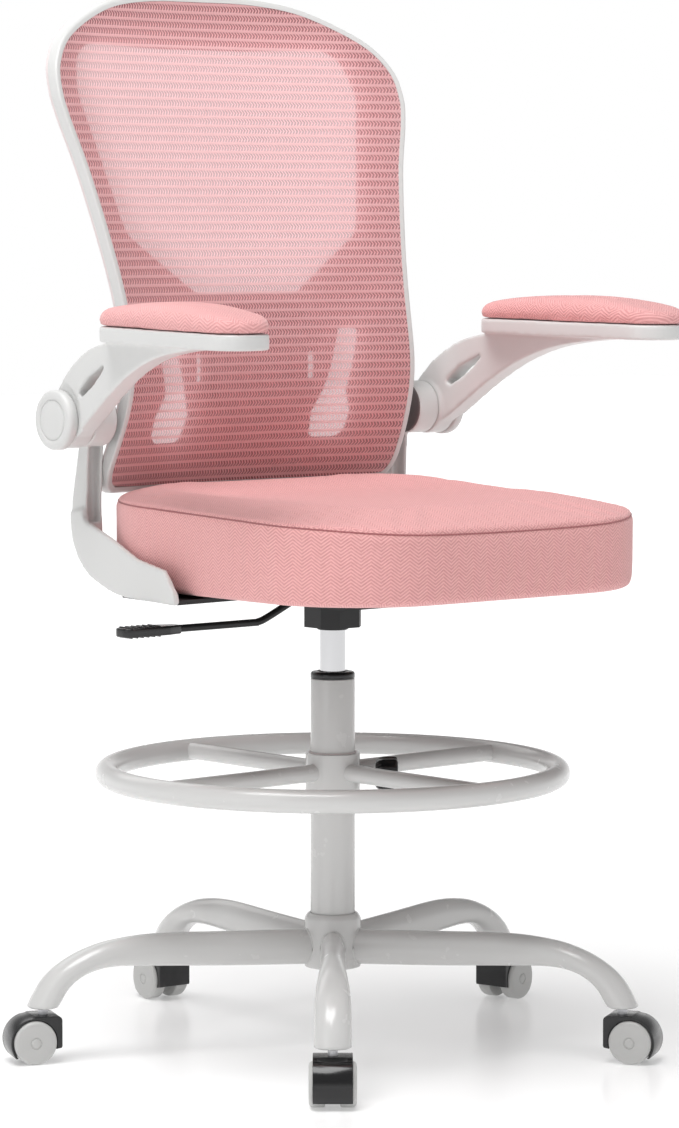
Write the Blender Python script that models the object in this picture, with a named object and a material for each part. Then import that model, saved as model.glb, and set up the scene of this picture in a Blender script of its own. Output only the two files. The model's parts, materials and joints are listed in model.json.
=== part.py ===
"""Drafting chair with a five-leg caster base, a gas lift, a foot ring, flip-up arms and a mesh back.

Metres, +Z up, floor at z = 0. The sitter faces -Y and the sitter's left is +X.
Shapes are drawn about the gas column's axis, and the parent empty "chair" then moves them all
so that the middle of the chair's plan outline lies over the origin.
"""

import math

import bmesh
import bpy
from mathutils import Matrix, Vector

# Place of the column's axis, from the middle of the plan outline.
COLUMN_X = -0.0065
COLUMN_Y = -0.0230

# Gap between faces that touch in the real chair.
GAP = 0.0003
SHARP_ANGLE = math.radians(32)
WELD = 1e-6

# Base.
LEG_COUNT = 5
FIRST_LEG_ANGLE = math.radians(-130)
STEM_REACH = 0.330
HUB_RADIUS = 0.031
HUB_BOTTOM = 0.086
HUB_TOP = 0.146
LEG_WALL = 0.0022
LEG_END = 0.0605
LEG_SIDES = 10
# Sections of a leg: reach from the column, height, slope in degrees, half width, half height.
LEG_SECTIONS = (
    (0.022, 0.1090, 0, 0.0135, 0.0195),
    (0.120, 0.1120, 2, 0.0135, 0.0190),
    (0.200, 0.1150, 0, 0.0142, 0.0180),
    (0.248, 0.1138, -7, 0.0162, 0.0150),
    (0.277, 0.1080, -18, 0.0180, 0.0132),
    (0.300, 0.0970, -38, 0.0192, 0.0132),
    (0.317, 0.0820, -58, 0.0197, 0.0148),
    (0.330, LEG_END, -90, 0.0197, 0.0170),
)

# Casters.
WHEEL_RADIUS = 0.0237
WHEEL_TRAIL = 0.0135
WHEEL_INNER = 0.0077
WHEEL_OUTER = 0.0252
HOOD_RADIUS = 0.0268
HOOD_HALF_WIDTH = 0.0207
HOOD_TOP = 0.0515
HOOD_BACK = -0.0165
WEB_HALF_WIDTH = 0.0072
STEM_RADIUS = 0.0055
STEM_BOTTOM = 0.0305
STEM_TOP = 0.0780
AXLE_RADIUS = 0.0030

# Gas column.
TUBE_RADIUS = 0.0245
TUBE_BORE = 0.0228
TUBE_BOTTOM = 0.092
TUBE_TOP = 0.406
COLLAR_TOP = 0.414
CYLINDER_RADIUS = 0.0142
CYLINDER_BOTTOM = 0.112
CYLINDER_TOP = 0.4905
ROD_RADIUS = 0.005
PISTON_RADIUS = 0.0118

# Foot ring.
RING_HEIGHT = 0.303
RING_RADIUS = 0.249
RING_TUBE = 0.0125
SPOKE_TUBE = 0.0095
SPOKE_COUNT = 4
SPOKE_ANGLE = math.radians(2)
RING_HUB_RADIUS = 0.030
RING_HUB_BORE = 0.0265
RING_HUB_BOTTOM = 0.276
RING_HUB_TOP = 0.324
CLAMP_ANGLE = math.radians(-40)
CLAMP_HEIGHT = 0.300

# Seat mechanism and lever.
BLOCK_WIDTH = 0.058
BLOCK_CHAMFER = 0.0148
BLOCK_BOTTOM = 0.463
CHANNEL_BOTTOM = 0.486
CHANNEL_TOP = 0.5061
PLATE_TOP = 0.5094
LEVER_PIVOT = (-0.0305, 0.0, 0.4998)
LEVER_LOW = 0.474
LEVER_ROD = 0.004

# Seat.
SEAT_HALF_WIDTH = 0.242
SEAT_FRONT = -0.305
SEAT_BACK = 0.165
SEAT_CORNER = 0.130
SEAT_RIM = 0.5120
SEAT_BOTTOM = 0.516
SEAT_TOP = 0.617
PAN_INSET = 0.048

# Back: height of the lumbar ridge, and the half outline of the mesh from top to bottom.
BACK_RIDGE = 0.728
BACK_HOLLOW = 0.60
MESH_THICKNESS = 0.0012
FRAME_LIP = 0.0068
FRAME_DEPTH = 0.0150
SHELL_THICKNESS = 0.0040
SHELL_FRONT = FRAME_DEPTH + 0.0005
BACK_ROWS = (0.645, 0.680, 0.706, 0.728, 0.750, 0.778, 0.820, 0.890, 0.980, 1.070)
BACK_COLUMNS = (-0.13, 0.0, 0.13)
ROW_MARGIN = 0.004
LUMBAR_FRONT = 0.0055
LUMBAR_THICKNESS = 0.0040
LUMBAR_HEIGHT = 0.735
BACK_HALF_OUTLINE = (
    (0.000, 1.1525), (0.075, 1.1510), (0.140, 1.1400), (0.205, 1.1100), (0.2335, 1.0800),
    (0.2405, 1.0500), (0.2365, 1.0200), (0.2205, 0.9600), (0.2045, 0.8700), (0.1975, 0.8000),
    (0.1975, 0.7200), (0.2006, 0.6600), (0.2000, 0.6320), (0.1910, 0.6185), (0.165, 0.6165),
    (0.000, 0.6165),
)

# Arms.
PIVOT_Y = 0.132
PIVOT_Z = 0.6935
BARREL_INNER = 0.217
BARREL_SPLIT = 0.246
KNUCKLE_OUTER = 0.2715
CAP_OUTER = 0.284
BARREL_RADIUS = 0.030
KNUCKLE_RADIUS = 0.031
CAP_RADIUS = 0.0325
ARM_SPLAY = math.tan(math.radians(6))
ARM_X = 0.259
PAD_CENTRE_Y = -0.0965
PAD_LENGTH = 0.270
PAD_WIDTH = 0.075
PAD_BASE_BOTTOM = 0.7765
PAD_BASE_TOP = 0.7932
PAD_TOP = 0.822
LEG_INNER_X = 0.2079
LEG_OUTER_X = 0.231
FOOT_OUTER_X = 0.2335
FOOT_THICKNESS = 0.008
FOOT_REAR_Y = 0.160
FOOT_SPLAY = 0.1395
FLANGE_INNER_X = 0.140
FLANGE_THICKNESS = 0.005

# Looks: base colour, roughness, metallic.
LOOKS = {
    "white_paint": ((0.82, 0.82, 0.81), 0.30, 0.0),
    "white_plastic": ((0.80, 0.80, 0.79), 0.35, 0.0),
    "grey_plastic": ((0.58, 0.58, 0.57), 0.45, 0.0),
    "wheel_grey": ((0.62, 0.62, 0.61), 0.45, 0.0),
    "black_plastic": ((0.02, 0.02, 0.02), 0.30, 0.0),
    "black_steel": ((0.03, 0.03, 0.03), 0.45, 0.6),
    "chrome": ((0.85, 0.85, 0.86), 0.10, 1.0),
    "steel": ((0.60, 0.60, 0.62), 0.35, 1.0),
    "pink_fabric": ((0.86, 0.45, 0.46), 0.90, 0.0),
    "pink_mesh": ((0.80, 0.35, 0.38), 0.85, 0.0),
    "plywood": ((0.62, 0.45, 0.28), 0.70, 0.0),
}


# ---------------------------------------------------------------- building tools

def clear_scene():
    """Remove whatever the opened file holds."""
    for item in list(bpy.data.objects):
        bpy.data.objects.remove(item, do_unlink=True)


def make_material(name, look):
    """Make one Principled material from a named look."""
    colour, roughness, metallic = LOOKS[look]
    material = bpy.data.materials.new(name)
    material.use_nodes = True
    shader = material.node_tree.nodes["Principled BSDF"]
    shader.inputs["Base Color"].default_value = (*colour, 1.0)
    shader.inputs["Roughness"].default_value = roughness
    shader.inputs["Metallic"].default_value = metallic
    return material


def make_mesh(name, shape, look, origin=(0.0, 0.0, 0.0)):
    """Turn a closed bmesh into a mesh whose own origin is the given point."""
    bmesh.ops.translate(shape, verts=shape.verts, vec=-Vector(origin))
    bmesh.ops.recalc_face_normals(shape, faces=shape.faces)
    mesh = bpy.data.meshes.new(name)
    shape.to_mesh(mesh)
    shape.free()
    mesh.shade_smooth()
    mesh.set_sharp_from_angle(angle=SHARP_ANGLE)
    mesh.materials.append(make_material(name, look))
    return mesh


def place(name, mesh, parent, location=(0.0, 0.0, 0.0)):
    """Add an object that shows the mesh under a parent empty."""
    piece = bpy.data.objects.new(name, mesh)
    bpy.context.scene.collection.objects.link(piece)
    piece.parent = parent
    piece.location = location
    return piece


def build(name, shape, look, parent, origin=(0.0, 0.0, 0.0)):
    """Make and place a piece that occurs once, with its origin at the given point."""
    return place(name, make_mesh(name, shape, look, origin), parent, origin)


def add_empty(name, parent=None, location=(0.0, 0.0, 0.0), turn=0.0):
    """Add an empty turned about +Z."""
    empty = bpy.data.objects.new(name, None)
    bpy.context.scene.collection.objects.link(empty)
    empty.parent = parent
    empty.location = location
    empty.rotation_euler = (0.0, 0.0, turn)
    return empty


def arc(centre, radius, start, end, steps):
    """Points of an arc, angles in degrees, both ends included."""
    angles = [math.radians(start + (end - start) * i / steps) for i in range(steps + 1)]
    return [(centre[0] + radius * math.cos(a), centre[1] + radius * math.sin(a)) for a in angles]


def rounded(corners, steps=4):
    """Outline through corners given as (u, v, radius), each rounded by an arc."""
    points = []
    for i, (u, v, radius) in enumerate(corners):
        corner = Vector((u, v))
        before = (Vector(corners[i - 1][:2]) - corner).normalized()
        after = (Vector(corners[(i + 1) % len(corners)][:2]) - corner).normalized()
        half = before.angle(after) / 2
        if radius <= 0.0 or half > math.radians(89):
            points.append((u, v))
            continue
        centre = corner + (before + after).normalized() * (radius / math.sin(half))
        first = corner + before * (radius / math.tan(half)) - centre
        last = corner + after * (radius / math.tan(half)) - centre
        sweep = first.angle_signed(last)
        for k in range(steps + 1):
            spoke = Matrix.Rotation(-sweep * k / steps, 2) @ first
            points.append(tuple(centre + spoke))
    return points


def spline(points, steps):
    """Catmull-Rom curve through the points, with steps samples in each span."""
    ends = [points[0]] + list(points) + [points[-1]]
    samples = []
    for i in range(1, len(ends) - 2):
        p0, p1, p2, p3 = (Vector(ends[i + k]) for k in (-1, 0, 1, 2))
        for k in range(steps):
            t = k / steps
            linear = (p2 - p0) * t
            square = (2 * p0 - 5 * p1 + 4 * p2 - p3) * t * t
            cube = (3 * p1 - p0 - 3 * p2 + p3) * t * t * t
            samples.append(tuple(p1 + (linear + square + cube) / 2))
    return samples + [tuple(points[-1])]


def turned(profile, sides):
    """Solid of revolution about Z from (radius, height) points, closed on itself or at the axis."""
    shape = bmesh.new()
    verts = [shape.verts.new((radius, 0.0, height)) for radius, height in profile]
    edges = [shape.edges.new(pair) for pair in zip(verts, verts[1:])]
    if profile[0][0] > 0.0 and profile[-1][0] > 0.0:
        edges.append(shape.edges.new((verts[-1], verts[0])))
    bmesh.ops.spin(
        shape, geom=verts + edges, cent=(0, 0, 0), axis=(0, 0, 1),
        angle=math.tau, steps=sides, use_merge=True,
    )
    bmesh.ops.remove_doubles(shape, verts=shape.verts, dist=WELD)
    bmesh.ops.recalc_face_normals(shape, faces=shape.faces)
    return shape


def prism(outline, low, high, axis):
    """Extrude an outline along an axis: (y, z) along X, (x, z) along Y or (x, y) along Z."""
    points = {
        "X": lambda u, v, w: (w, u, v),
        "Y": lambda u, v, w: (u, w, v),
        "Z": lambda u, v, w: (u, v, w),
    }[axis]
    shape = bmesh.new()
    face = shape.faces.new([shape.verts.new(points(u, v, low)) for u, v in outline])
    top = bmesh.ops.extrude_face_region(shape, geom=[face], use_keep_orig=True)
    far = [item for item in top["geom"] if isinstance(item, bmesh.types.BMVert)]
    bmesh.ops.translate(shape, verts=far, vec=points(0.0, 0.0, high - low))
    bmesh.ops.recalc_face_normals(shape, faces=shape.faces)
    return shape


def box(low, high):
    """Box between two corners."""
    outline = [(low[0], low[1]), (high[0], low[1]), (high[0], high[1]), (low[0], high[1])]
    return prism(outline, low[2], high[2], "Z")


def cylinder(radius, low, high, sides=20):
    """Solid cylinder about Z."""
    return turned([(0.0, low), (radius, low), (radius, high), (0.0, high)], sides)


def moved(shape, matrix):
    """Move a shape by a matrix and return it."""
    bmesh.ops.transform(shape, verts=shape.verts, matrix=matrix)
    return shape


def along_x(shape, y=0.0, z=0.0):
    """Turn a shape's Z axis onto +X, through the point (y, z)."""
    return moved(shape, Matrix.Translation((0.0, y, z)) @ Matrix.Rotation(math.pi / 2, 4, "Y"))


def along_y(shape, x=0.0, z=0.0):
    """Turn a shape's Z axis onto +Y, through the point (x, z)."""
    return moved(shape, Matrix.Translation((x, 0.0, z)) @ Matrix.Rotation(-math.pi / 2, 4, "X"))


def loft(rings, closed=False):
    """Skin rings of equal length; the ends are capped unless the loft closes on itself."""
    shape = bmesh.new()
    loops = [[shape.verts.new(point) for point in ring] for ring in rings]
    pairs = list(zip(loops, loops[1:]))
    if closed:
        pairs.append((loops[-1], loops[0]))
    for first, second in pairs:
        for k in range(len(first)):
            n = (k + 1) % len(first)
            shape.faces.new((first[k], first[n], second[n], second[k]))
    if not closed:
        shape.faces.new(list(reversed(loops[0])))
        shape.faces.new(loops[-1])
    bmesh.ops.recalc_face_normals(shape, faces=shape.faces)
    return shape


def combine(body, tool, operation):
    """Boolean of two shapes; both are used up."""
    pair = []
    for shape in (body, tool):
        mesh = bpy.data.meshes.new("boolean")
        shape.to_mesh(mesh)
        shape.free()
        item = bpy.data.objects.new("boolean", mesh)
        bpy.context.scene.collection.objects.link(item)
        pair.append(item)
    modifier = pair[0].modifiers.new("boolean", "BOOLEAN")
    modifier.operation = operation
    modifier.solver = "EXACT"
    modifier.object = pair[1]
    bpy.context.view_layer.update()
    graph = bpy.context.evaluated_depsgraph_get()
    solved = pair[0].evaluated_get(graph)
    result = bmesh.new()
    result.from_mesh(solved.to_mesh())
    solved.to_mesh_clear()
    for item in pair:
        mesh = item.data
        bpy.data.objects.remove(item, do_unlink=True)
        bpy.data.meshes.remove(mesh)
    return result


def cut(body, *tools):
    """Cut each tool from a body."""
    for tool in tools:
        body = combine(body, tool, "DIFFERENCE")
    return body


def join(body, *others):
    """Join overlapping shapes into one."""
    for other in others:
        body = combine(body, other, "UNION")
    return body


def mirrored(shape):
    """The same shape on the other side of the x = 0 plane."""
    bmesh.ops.scale(shape, vec=(-1.0, 1.0, 1.0), verts=shape.verts)
    bmesh.ops.reverse_faces(shape, faces=shape.faces)
    return shape


# ---------------------------------------------------------------- base and casters

def ellipse_ring(section, wall):
    """Ring of a leg's section, drawn a wall's thickness inside it."""
    reach, height, slope, half_width, half_height = section
    tilt = math.radians(slope)
    across = Vector((0.0, 1.0, 0.0)) * (half_width - wall)
    upward = Vector((-math.sin(tilt), 0.0, math.cos(tilt))) * (half_height - wall)
    centre = Vector((reach, 0.0, height))
    ring = []
    for k in range(LEG_SIDES):
        angle = math.tau * (k + 0.5) / LEG_SIDES
        ring.append(centre + across * math.cos(angle) + upward * math.sin(angle))
    return ring


def leg_shape():
    """Swan-neck tube leg along +X, open at the hub, with a plate and a socket at its end."""
    outer = loft([ellipse_ring(section, 0.0) for section in LEG_SECTIONS])
    hollow = [list(section) for section in LEG_SECTIONS]
    hollow[0][0] = 0.010
    hollow[-1][1] = LEG_END + 0.0030
    inner = loft([ellipse_ring(section, LEG_WALL) for section in hollow])
    socket = moved(cylinder(0.0095, LEG_END + 0.0005, 0.0800, 10), Matrix.Translation((STEM_REACH, 0, 0)))
    stem_hole = cylinder(STEM_RADIUS + GAP, LEG_END - 0.01, STEM_TOP + GAP, 10)
    stem_hole = moved(stem_hole, Matrix.Translation((STEM_REACH, 0, 0)))
    hub_space = cylinder(HUB_RADIUS + GAP, 0.05, 0.20, 28)
    return cut(join(cut(outer, inner), socket), stem_hole, hub_space)


def hub_shape():
    """Sleeve that the legs are welded to and the column sits in."""
    bore = TUBE_RADIUS + GAP
    return turned([
        (bore, HUB_BOTTOM), (HUB_RADIUS - 0.001, HUB_BOTTOM), (HUB_RADIUS, HUB_BOTTOM + 0.001),
        (HUB_RADIUS, HUB_TOP - 0.006), (HUB_RADIUS - 0.0035, HUB_TOP), (bore, HUB_TOP),
    ], 28)


def wheel_shape():
    """Caster wheel about its axle, on the +Y side of the web, with a blind axle hole."""
    hole = AXLE_RADIUS + GAP
    wheel = turned([
        (0.0, WHEEL_OUTER), (WHEEL_RADIUS - 0.0028, WHEEL_OUTER), (WHEEL_RADIUS, WHEEL_OUTER - 0.002),
        (WHEEL_RADIUS, WHEEL_INNER), (hole, WHEEL_INNER), (hole, 0.0186), (0.0, 0.0186),
    ], 18)
    return along_y(wheel)


def hood_shape():
    """Caster body: a web between the wheels, a shroud over them and a socket for the stem."""
    axle = (WHEEL_TRAIL, WHEEL_RADIUS)
    outline = arc(axle, HOOD_RADIUS, -38, 72, 6)
    outline += [(0.0165, HOOD_TOP - 0.0008), (0.0145, HOOD_TOP)]
    outline += [(HOOD_BACK + 0.0015, HOOD_TOP), (HOOD_BACK, HOOD_TOP - 0.0015), (HOOD_BACK, 0.0170)]
    hood = prism(outline, -HOOD_HALF_WIDTH, HOOD_HALF_WIDTH, "Y")
    room = WHEEL_RADIUS + 0.0009
    near = along_y(cylinder(room, WEB_HALF_WIDTH, 0.03, 18), *axle)
    far = along_y(cylinder(room, -0.03, -WEB_HALF_WIDTH, 18), *axle)
    axle_hole = along_y(cylinder(AXLE_RADIUS + GAP, -0.03, 0.03, 8), *axle)
    stem_hole = cylinder(STEM_RADIUS + GAP, STEM_BOTTOM - GAP, 0.06, 10)
    return cut(hood, near, far, axle_hole, stem_hole)


def build_base(chair):
    """Hub, legs and casters."""
    build("base_hub", hub_shape(), "white_paint", chair)
    leg = make_mesh("base_leg", leg_shape(), "white_paint")
    hood = make_mesh("caster_hood", hood_shape(), "black_plastic")
    stem = make_mesh("caster_stem", cylinder(STEM_RADIUS, STEM_BOTTOM, STEM_TOP, 10), "steel")
    axle = make_mesh("caster_axle", along_y(cylinder(AXLE_RADIUS, -0.018, 0.018, 8)), "steel")
    wheel = make_mesh("caster_wheel_a", wheel_shape(), "wheel_grey")
    turned_wheel = moved(wheel_shape(), Matrix.Rotation(math.pi, 4, "Z"))
    other_wheel = make_mesh("caster_wheel_b", turned_wheel, "wheel_grey")
    for k in range(LEG_COUNT):
        turn = FIRST_LEG_ANGLE + math.tau * k / LEG_COUNT
        number = k + 1
        arm = add_empty(f"leg_frame_{number}", chair, turn=turn)
        place(f"base_leg_{number}", leg, arm)
        swivel = add_empty(f"caster_frame_{number}", arm, (STEM_REACH, 0.0, 0.0))
        axle_place = (WHEEL_TRAIL, 0.0, WHEEL_RADIUS)
        place(f"caster_hood_{number}", hood, swivel)
        place(f"caster_stem_{number}", stem, swivel)
        place(f"caster_axle_{number}", axle, swivel, axle_place)
        place(f"caster_wheel_{number}a", wheel, swivel, axle_place)
        place(f"caster_wheel_{number}b", other_wheel, swivel, axle_place)


# ---------------------------------------------------------------- column and foot ring

def build_column(chair):
    """Outer tube, its guide bush, the piston rod, the gas cylinder and its release pin."""
    rod_hole = 0.0043
    build("column_tube", turned([
        (rod_hole, TUBE_BOTTOM), (TUBE_RADIUS, TUBE_BOTTOM), (TUBE_RADIUS, TUBE_TOP),
        (TUBE_BORE, TUBE_TOP), (TUBE_BORE, TUBE_BOTTOM + 0.004), (rod_hole, TUBE_BOTTOM + 0.004),
    ], 28), "white_paint", chair)
    guide = CYLINDER_RADIUS + 0.0004
    build("column_bush", turned([
        (guide, 0.315), (TUBE_BORE - GAP, 0.315), (TUBE_BORE - GAP, TUBE_TOP + GAP),
        (TUBE_RADIUS, TUBE_TOP + GAP), (TUBE_RADIUS, COLLAR_TOP - 0.001),
        (TUBE_RADIUS - 0.001, COLLAR_TOP), (guide, COLLAR_TOP),
    ], 28), "black_plastic", chair)
    build("piston_rod", turned([
        (0.0, 0.089), (0.004, 0.089), (0.004, TUBE_BOTTOM + 0.0045), (ROD_RADIUS, TUBE_BOTTOM + 0.0045),
        (ROD_RADIUS, 0.380), (PISTON_RADIUS, 0.380), (PISTON_RADIUS, 0.400), (0.0, 0.400),
    ], 16), "steel", chair)
    gland = ROD_RADIUS + GAP
    chamber = PISTON_RADIUS + 0.0004
    build("gas_cylinder", turned([
        (0.0, 0.468), (0.0033, 0.468), (0.0033, CYLINDER_TOP), (CYLINDER_RADIUS - 0.001, CYLINDER_TOP),
        (CYLINDER_RADIUS, BLOCK_BOTTOM - 0.003), (CYLINDER_RADIUS, CYLINDER_BOTTOM),
        (gland, CYLINDER_BOTTOM), (gland, CYLINDER_BOTTOM + 0.010),
        (chamber, CYLINDER_BOTTOM + 0.010), (chamber, 0.455), (0.0, 0.455),
    ], 24), "chrome", chair)
    build("release_pin", cylinder(0.003, 0.4716, 0.4950, 10), "steel", chair, (0.0, 0.0, 0.4716))


def torus(radius, tube, height, around, sides):
    """Ring of round tube about Z."""
    angles = [math.tau * (k + 0.5) / sides for k in range(sides)]
    section = [(radius + tube * math.cos(angle), height + tube * math.sin(angle)) for angle in angles]
    return turned(section, around)


def ring_shape():
    """Foot ring: round tube, four spokes and a hub with a tapered boss for the clamp."""
    root = (RING_HUB_BORE + RING_HUB_RADIUS) / 2 - 0.0005
    hub = turned([
        (RING_HUB_BORE, RING_HUB_BOTTOM), (RING_HUB_RADIUS, RING_HUB_BOTTOM),
        (RING_HUB_RADIUS, RING_HUB_TOP), (RING_HUB_BORE, RING_HUB_TOP),
    ], 28)
    toward_clamp = Matrix.Rotation(CLAMP_ANGLE, 4, "Z")
    boss = turned([(0.0, root), (0.0095, root), (0.0070, 0.0450), (0.0, 0.0450)], 12)
    boss = moved(along_x(boss, 0.0, CLAMP_HEIGHT), toward_clamp)
    screw_hole = moved(along_x(cylinder(0.0043, 0.01, 0.06, 10), 0.0, CLAMP_HEIGHT), toward_clamp)
    ring = cut(join(hub, boss), screw_hole)
    for k in range(SPOKE_COUNT):
        spoke = along_x(cylinder(SPOKE_TUBE, root, RING_RADIUS + 0.003, 10), 0.0, RING_HEIGHT)
        ring = join(ring, moved(spoke, Matrix.Rotation(SPOKE_ANGLE + math.tau * k / SPOKE_COUNT, 4, "Z")))
    return join(ring, torus(RING_RADIUS, RING_TUBE, RING_HEIGHT, 36, 8))


def build_foot_ring(chair):
    """Foot ring, the split sleeve inside its hub and the clamp knob with its screw."""
    build("foot_ring", ring_shape(), "white_paint", chair, (0.0, 0.0, RING_HEIGHT))
    sleeve = turned([
        (TUBE_RADIUS + GAP, RING_HUB_BOTTOM), (RING_HUB_BORE - GAP, RING_HUB_BOTTOM),
        (RING_HUB_BORE - GAP, RING_HUB_TOP + 0.001), (TUBE_RADIUS + GAP, RING_HUB_TOP + 0.001),
    ], 28)
    build("ring_sleeve", sleeve, "grey_plastic", chair, (0.0, 0.0, RING_HEIGHT))
    knob = turned([
        (0.0, RING_HUB_BORE), (0.0040, RING_HUB_BORE), (0.0040, 0.0470), (0.0150, 0.0470),
        (0.0180, 0.0500), (0.0190, 0.0690), (0.0170, 0.0720), (0.0, 0.0720),
    ], 16)
    knob = moved(along_x(knob), Matrix.Rotation(CLAMP_ANGLE, 4, "Z"))
    place("ring_clamp_knob", make_mesh("ring_clamp_knob", knob, "black_plastic"), chair,
          (0.0, 0.0, CLAMP_HEIGHT))


# ---------------------------------------------------------------- mechanism and seat

def housing_shape():
    """Octagonal socket block under a channel that is open at the top."""
    half = BLOCK_WIDTH / 2
    flat = half - BLOCK_CHAMFER
    outline = [(-half, -flat), (-flat, -half), (flat, -half), (half, -flat)]
    outline += [(-x, -y) for x, y in outline]
    block = prism(outline, BLOCK_BOTTOM, CHANNEL_BOTTOM + 0.002, "Z")
    neck = cylinder(0.0170, BLOCK_BOTTOM - 0.003, BLOCK_BOTTOM + 0.002, 24)
    channel = box((-0.032, -0.060, CHANNEL_BOTTOM), (0.032, 0.060, CHANNEL_TOP))
    inside = box((-0.0285, -0.0565, CHANNEL_BOTTOM + 0.005), (0.0285, 0.0565, 0.52))
    socket = turned([
        (0.0, 0.450), (CYLINDER_RADIUS + GAP, 0.450), (CYLINDER_RADIUS + GAP, BLOCK_BOTTOM - 0.003),
        (CYLINDER_RADIUS + GAP - 0.001, CYLINDER_TOP), (CYLINDER_RADIUS - 0.001, 0.51), (0.0, 0.51),
    ], 24)
    lever_slot = box((-0.040, -0.0055, CHANNEL_BOTTOM + 0.0005), (-0.020, 0.0055, 0.52))
    return cut(join(block, neck, channel), inside, socket, lever_slot)


def lever_rod_shape():
    """Bent round rod: over the release pin, out through the channel's slot and down to the handle."""
    path = [(0.0040, LEVER_PIVOT[2]), (-0.0450, LEVER_PIVOT[2]), (-0.1030, LEVER_LOW), (-0.2400, LEVER_LOW)]
    rings = []
    for i, (x, z) in enumerate(path):
        before = Vector(path[max(i - 1, 0)])
        after = Vector(path[min(i + 1, len(path) - 1)])
        run = (after - before).normalized()
        upward = Vector((run[1], 0.0, -run[0]))
        ring = []
        for k in range(10):
            angle = math.tau * k / 10
            offset = upward * math.cos(angle) + Vector((0.0, 1.0, 0.0)) * math.sin(angle)
            ring.append(Vector((x, 0.0, z)) + offset * LEVER_ROD)
        rings.append(ring)
    return loft(rings)


def lever_handle_shape():
    """Flat paddle pushed over the end of the rod."""
    outline = rounded([
        (-0.216, -0.008, 0.003), (-0.216, 0.008, 0.003), (-0.236, 0.0135, 0.006),
        (-0.293, 0.0135, 0.010), (-0.293, -0.0135, 0.010), (-0.236, -0.0135, 0.006),
    ], 3)
    paddle = prism(outline, LEVER_LOW - 0.0055, LEVER_LOW + 0.0055, "Z")
    return cut(paddle, along_x(cylinder(LEVER_ROD + GAP, -0.2403, -0.20, 12), 0.0, LEVER_LOW))


def build_mechanism(chair):
    """Housing, seat plate, lever rod and lever handle."""
    build("mechanism_housing", housing_shape(), "black_steel", chair)
    plate = rounded([
        (0.09, 0.095, 0.015), (-0.09, 0.095, 0.015), (-0.09, -0.105, 0.015), (0.09, -0.105, 0.015),
    ], 2)
    build("seat_plate", prism(plate, CHANNEL_TOP + GAP, PLATE_TOP, "Z"), "black_steel", chair)
    build("height_lever_rod", lever_rod_shape(), "black_steel", chair, LEVER_PIVOT)
    build("height_lever_handle", lever_handle_shape(), "black_plastic", chair, LEVER_PIVOT)


def seat_outline(inset, steps=7):
    """Rounded rectangle of the seat in plan, drawn inside its edge."""
    side = SEAT_HALF_WIDTH - inset
    front = SEAT_FRONT + inset
    back = SEAT_BACK - inset
    radius = SEAT_CORNER - inset
    corners = [(side, front, radius), (side, back, radius), (-side, back, radius), (-side, front, radius)]
    return rounded(corners, steps)


def build_seat(chair):
    """Seat pan and seat cushion."""
    pan = prism(seat_outline(PAN_INSET, 5), PLATE_TOP + GAP, SEAT_BOTTOM - GAP, "Z")
    build("seat_pan", pan, "plywood", chair)
    levels = [
        (0.030, SEAT_RIM), (0.012, SEAT_RIM + 0.006), (0.000, SEAT_RIM + 0.030),
        (0.000, SEAT_TOP - 0.026), (0.006, SEAT_TOP - 0.012), (0.026, SEAT_TOP),
    ]
    rings = [[(x, y, height) for x, y in seat_outline(inset)] for inset, height in levels]
    pocket = prism(seat_outline(PAN_INSET - GAP, 5), 0.50, SEAT_BOTTOM, "Z")
    build("seat_cushion", cut(loft(rings), pocket), "pink_fabric", chair)


# ---------------------------------------------------------------- back

def back_surface(x, z):
    """Depth y of the mesh: a lumbar ridge with the back leaning away above it, hollow across."""
    rise = z - BACK_RIDGE
    ridge = 0.0949 - 0.13 * rise + 0.46 * math.hypot(rise, 0.060)
    return ridge - BACK_HOLLOW * x * x


def split_at_rows(points):
    """Add a point to a line of (x, z) points wherever it crosses one of the back's rows."""
    result = [points[0]]
    for start, end in zip(points, points[1:]):
        low = min(start[1], end[1]) + ROW_MARGIN
        high = max(start[1], end[1]) - ROW_MARGIN
        crossings = [row for row in BACK_ROWS if low < row < high]
        if start[1] > end[1]:
            crossings.reverse()
        for row in crossings:
            share = (row - start[1]) / (end[1] - start[1])
            result.append((start[0] + share * (end[0] - start[0]), row))
        result.append(end)
    return result


def back_outline():
    """Closed outline of the mesh in (x, z), clockwise from the middle of the top."""
    half = split_at_rows(spline(BACK_HALF_OUTLINE, 2))
    return half[:-1] + [(-x, z) for x, z in reversed(half)][:-1]


def offset_outline(outline, distance):
    """Move a clockwise outline outward."""
    result = []
    count = len(outline)
    for i, (x, z) in enumerate(outline):
        run = Vector(outline[(i + 1) % count]) - Vector(outline[i - 1])
        run.normalize()
        result.append((x - run[1] * distance, z + run[0] * distance))
    return result


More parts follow.
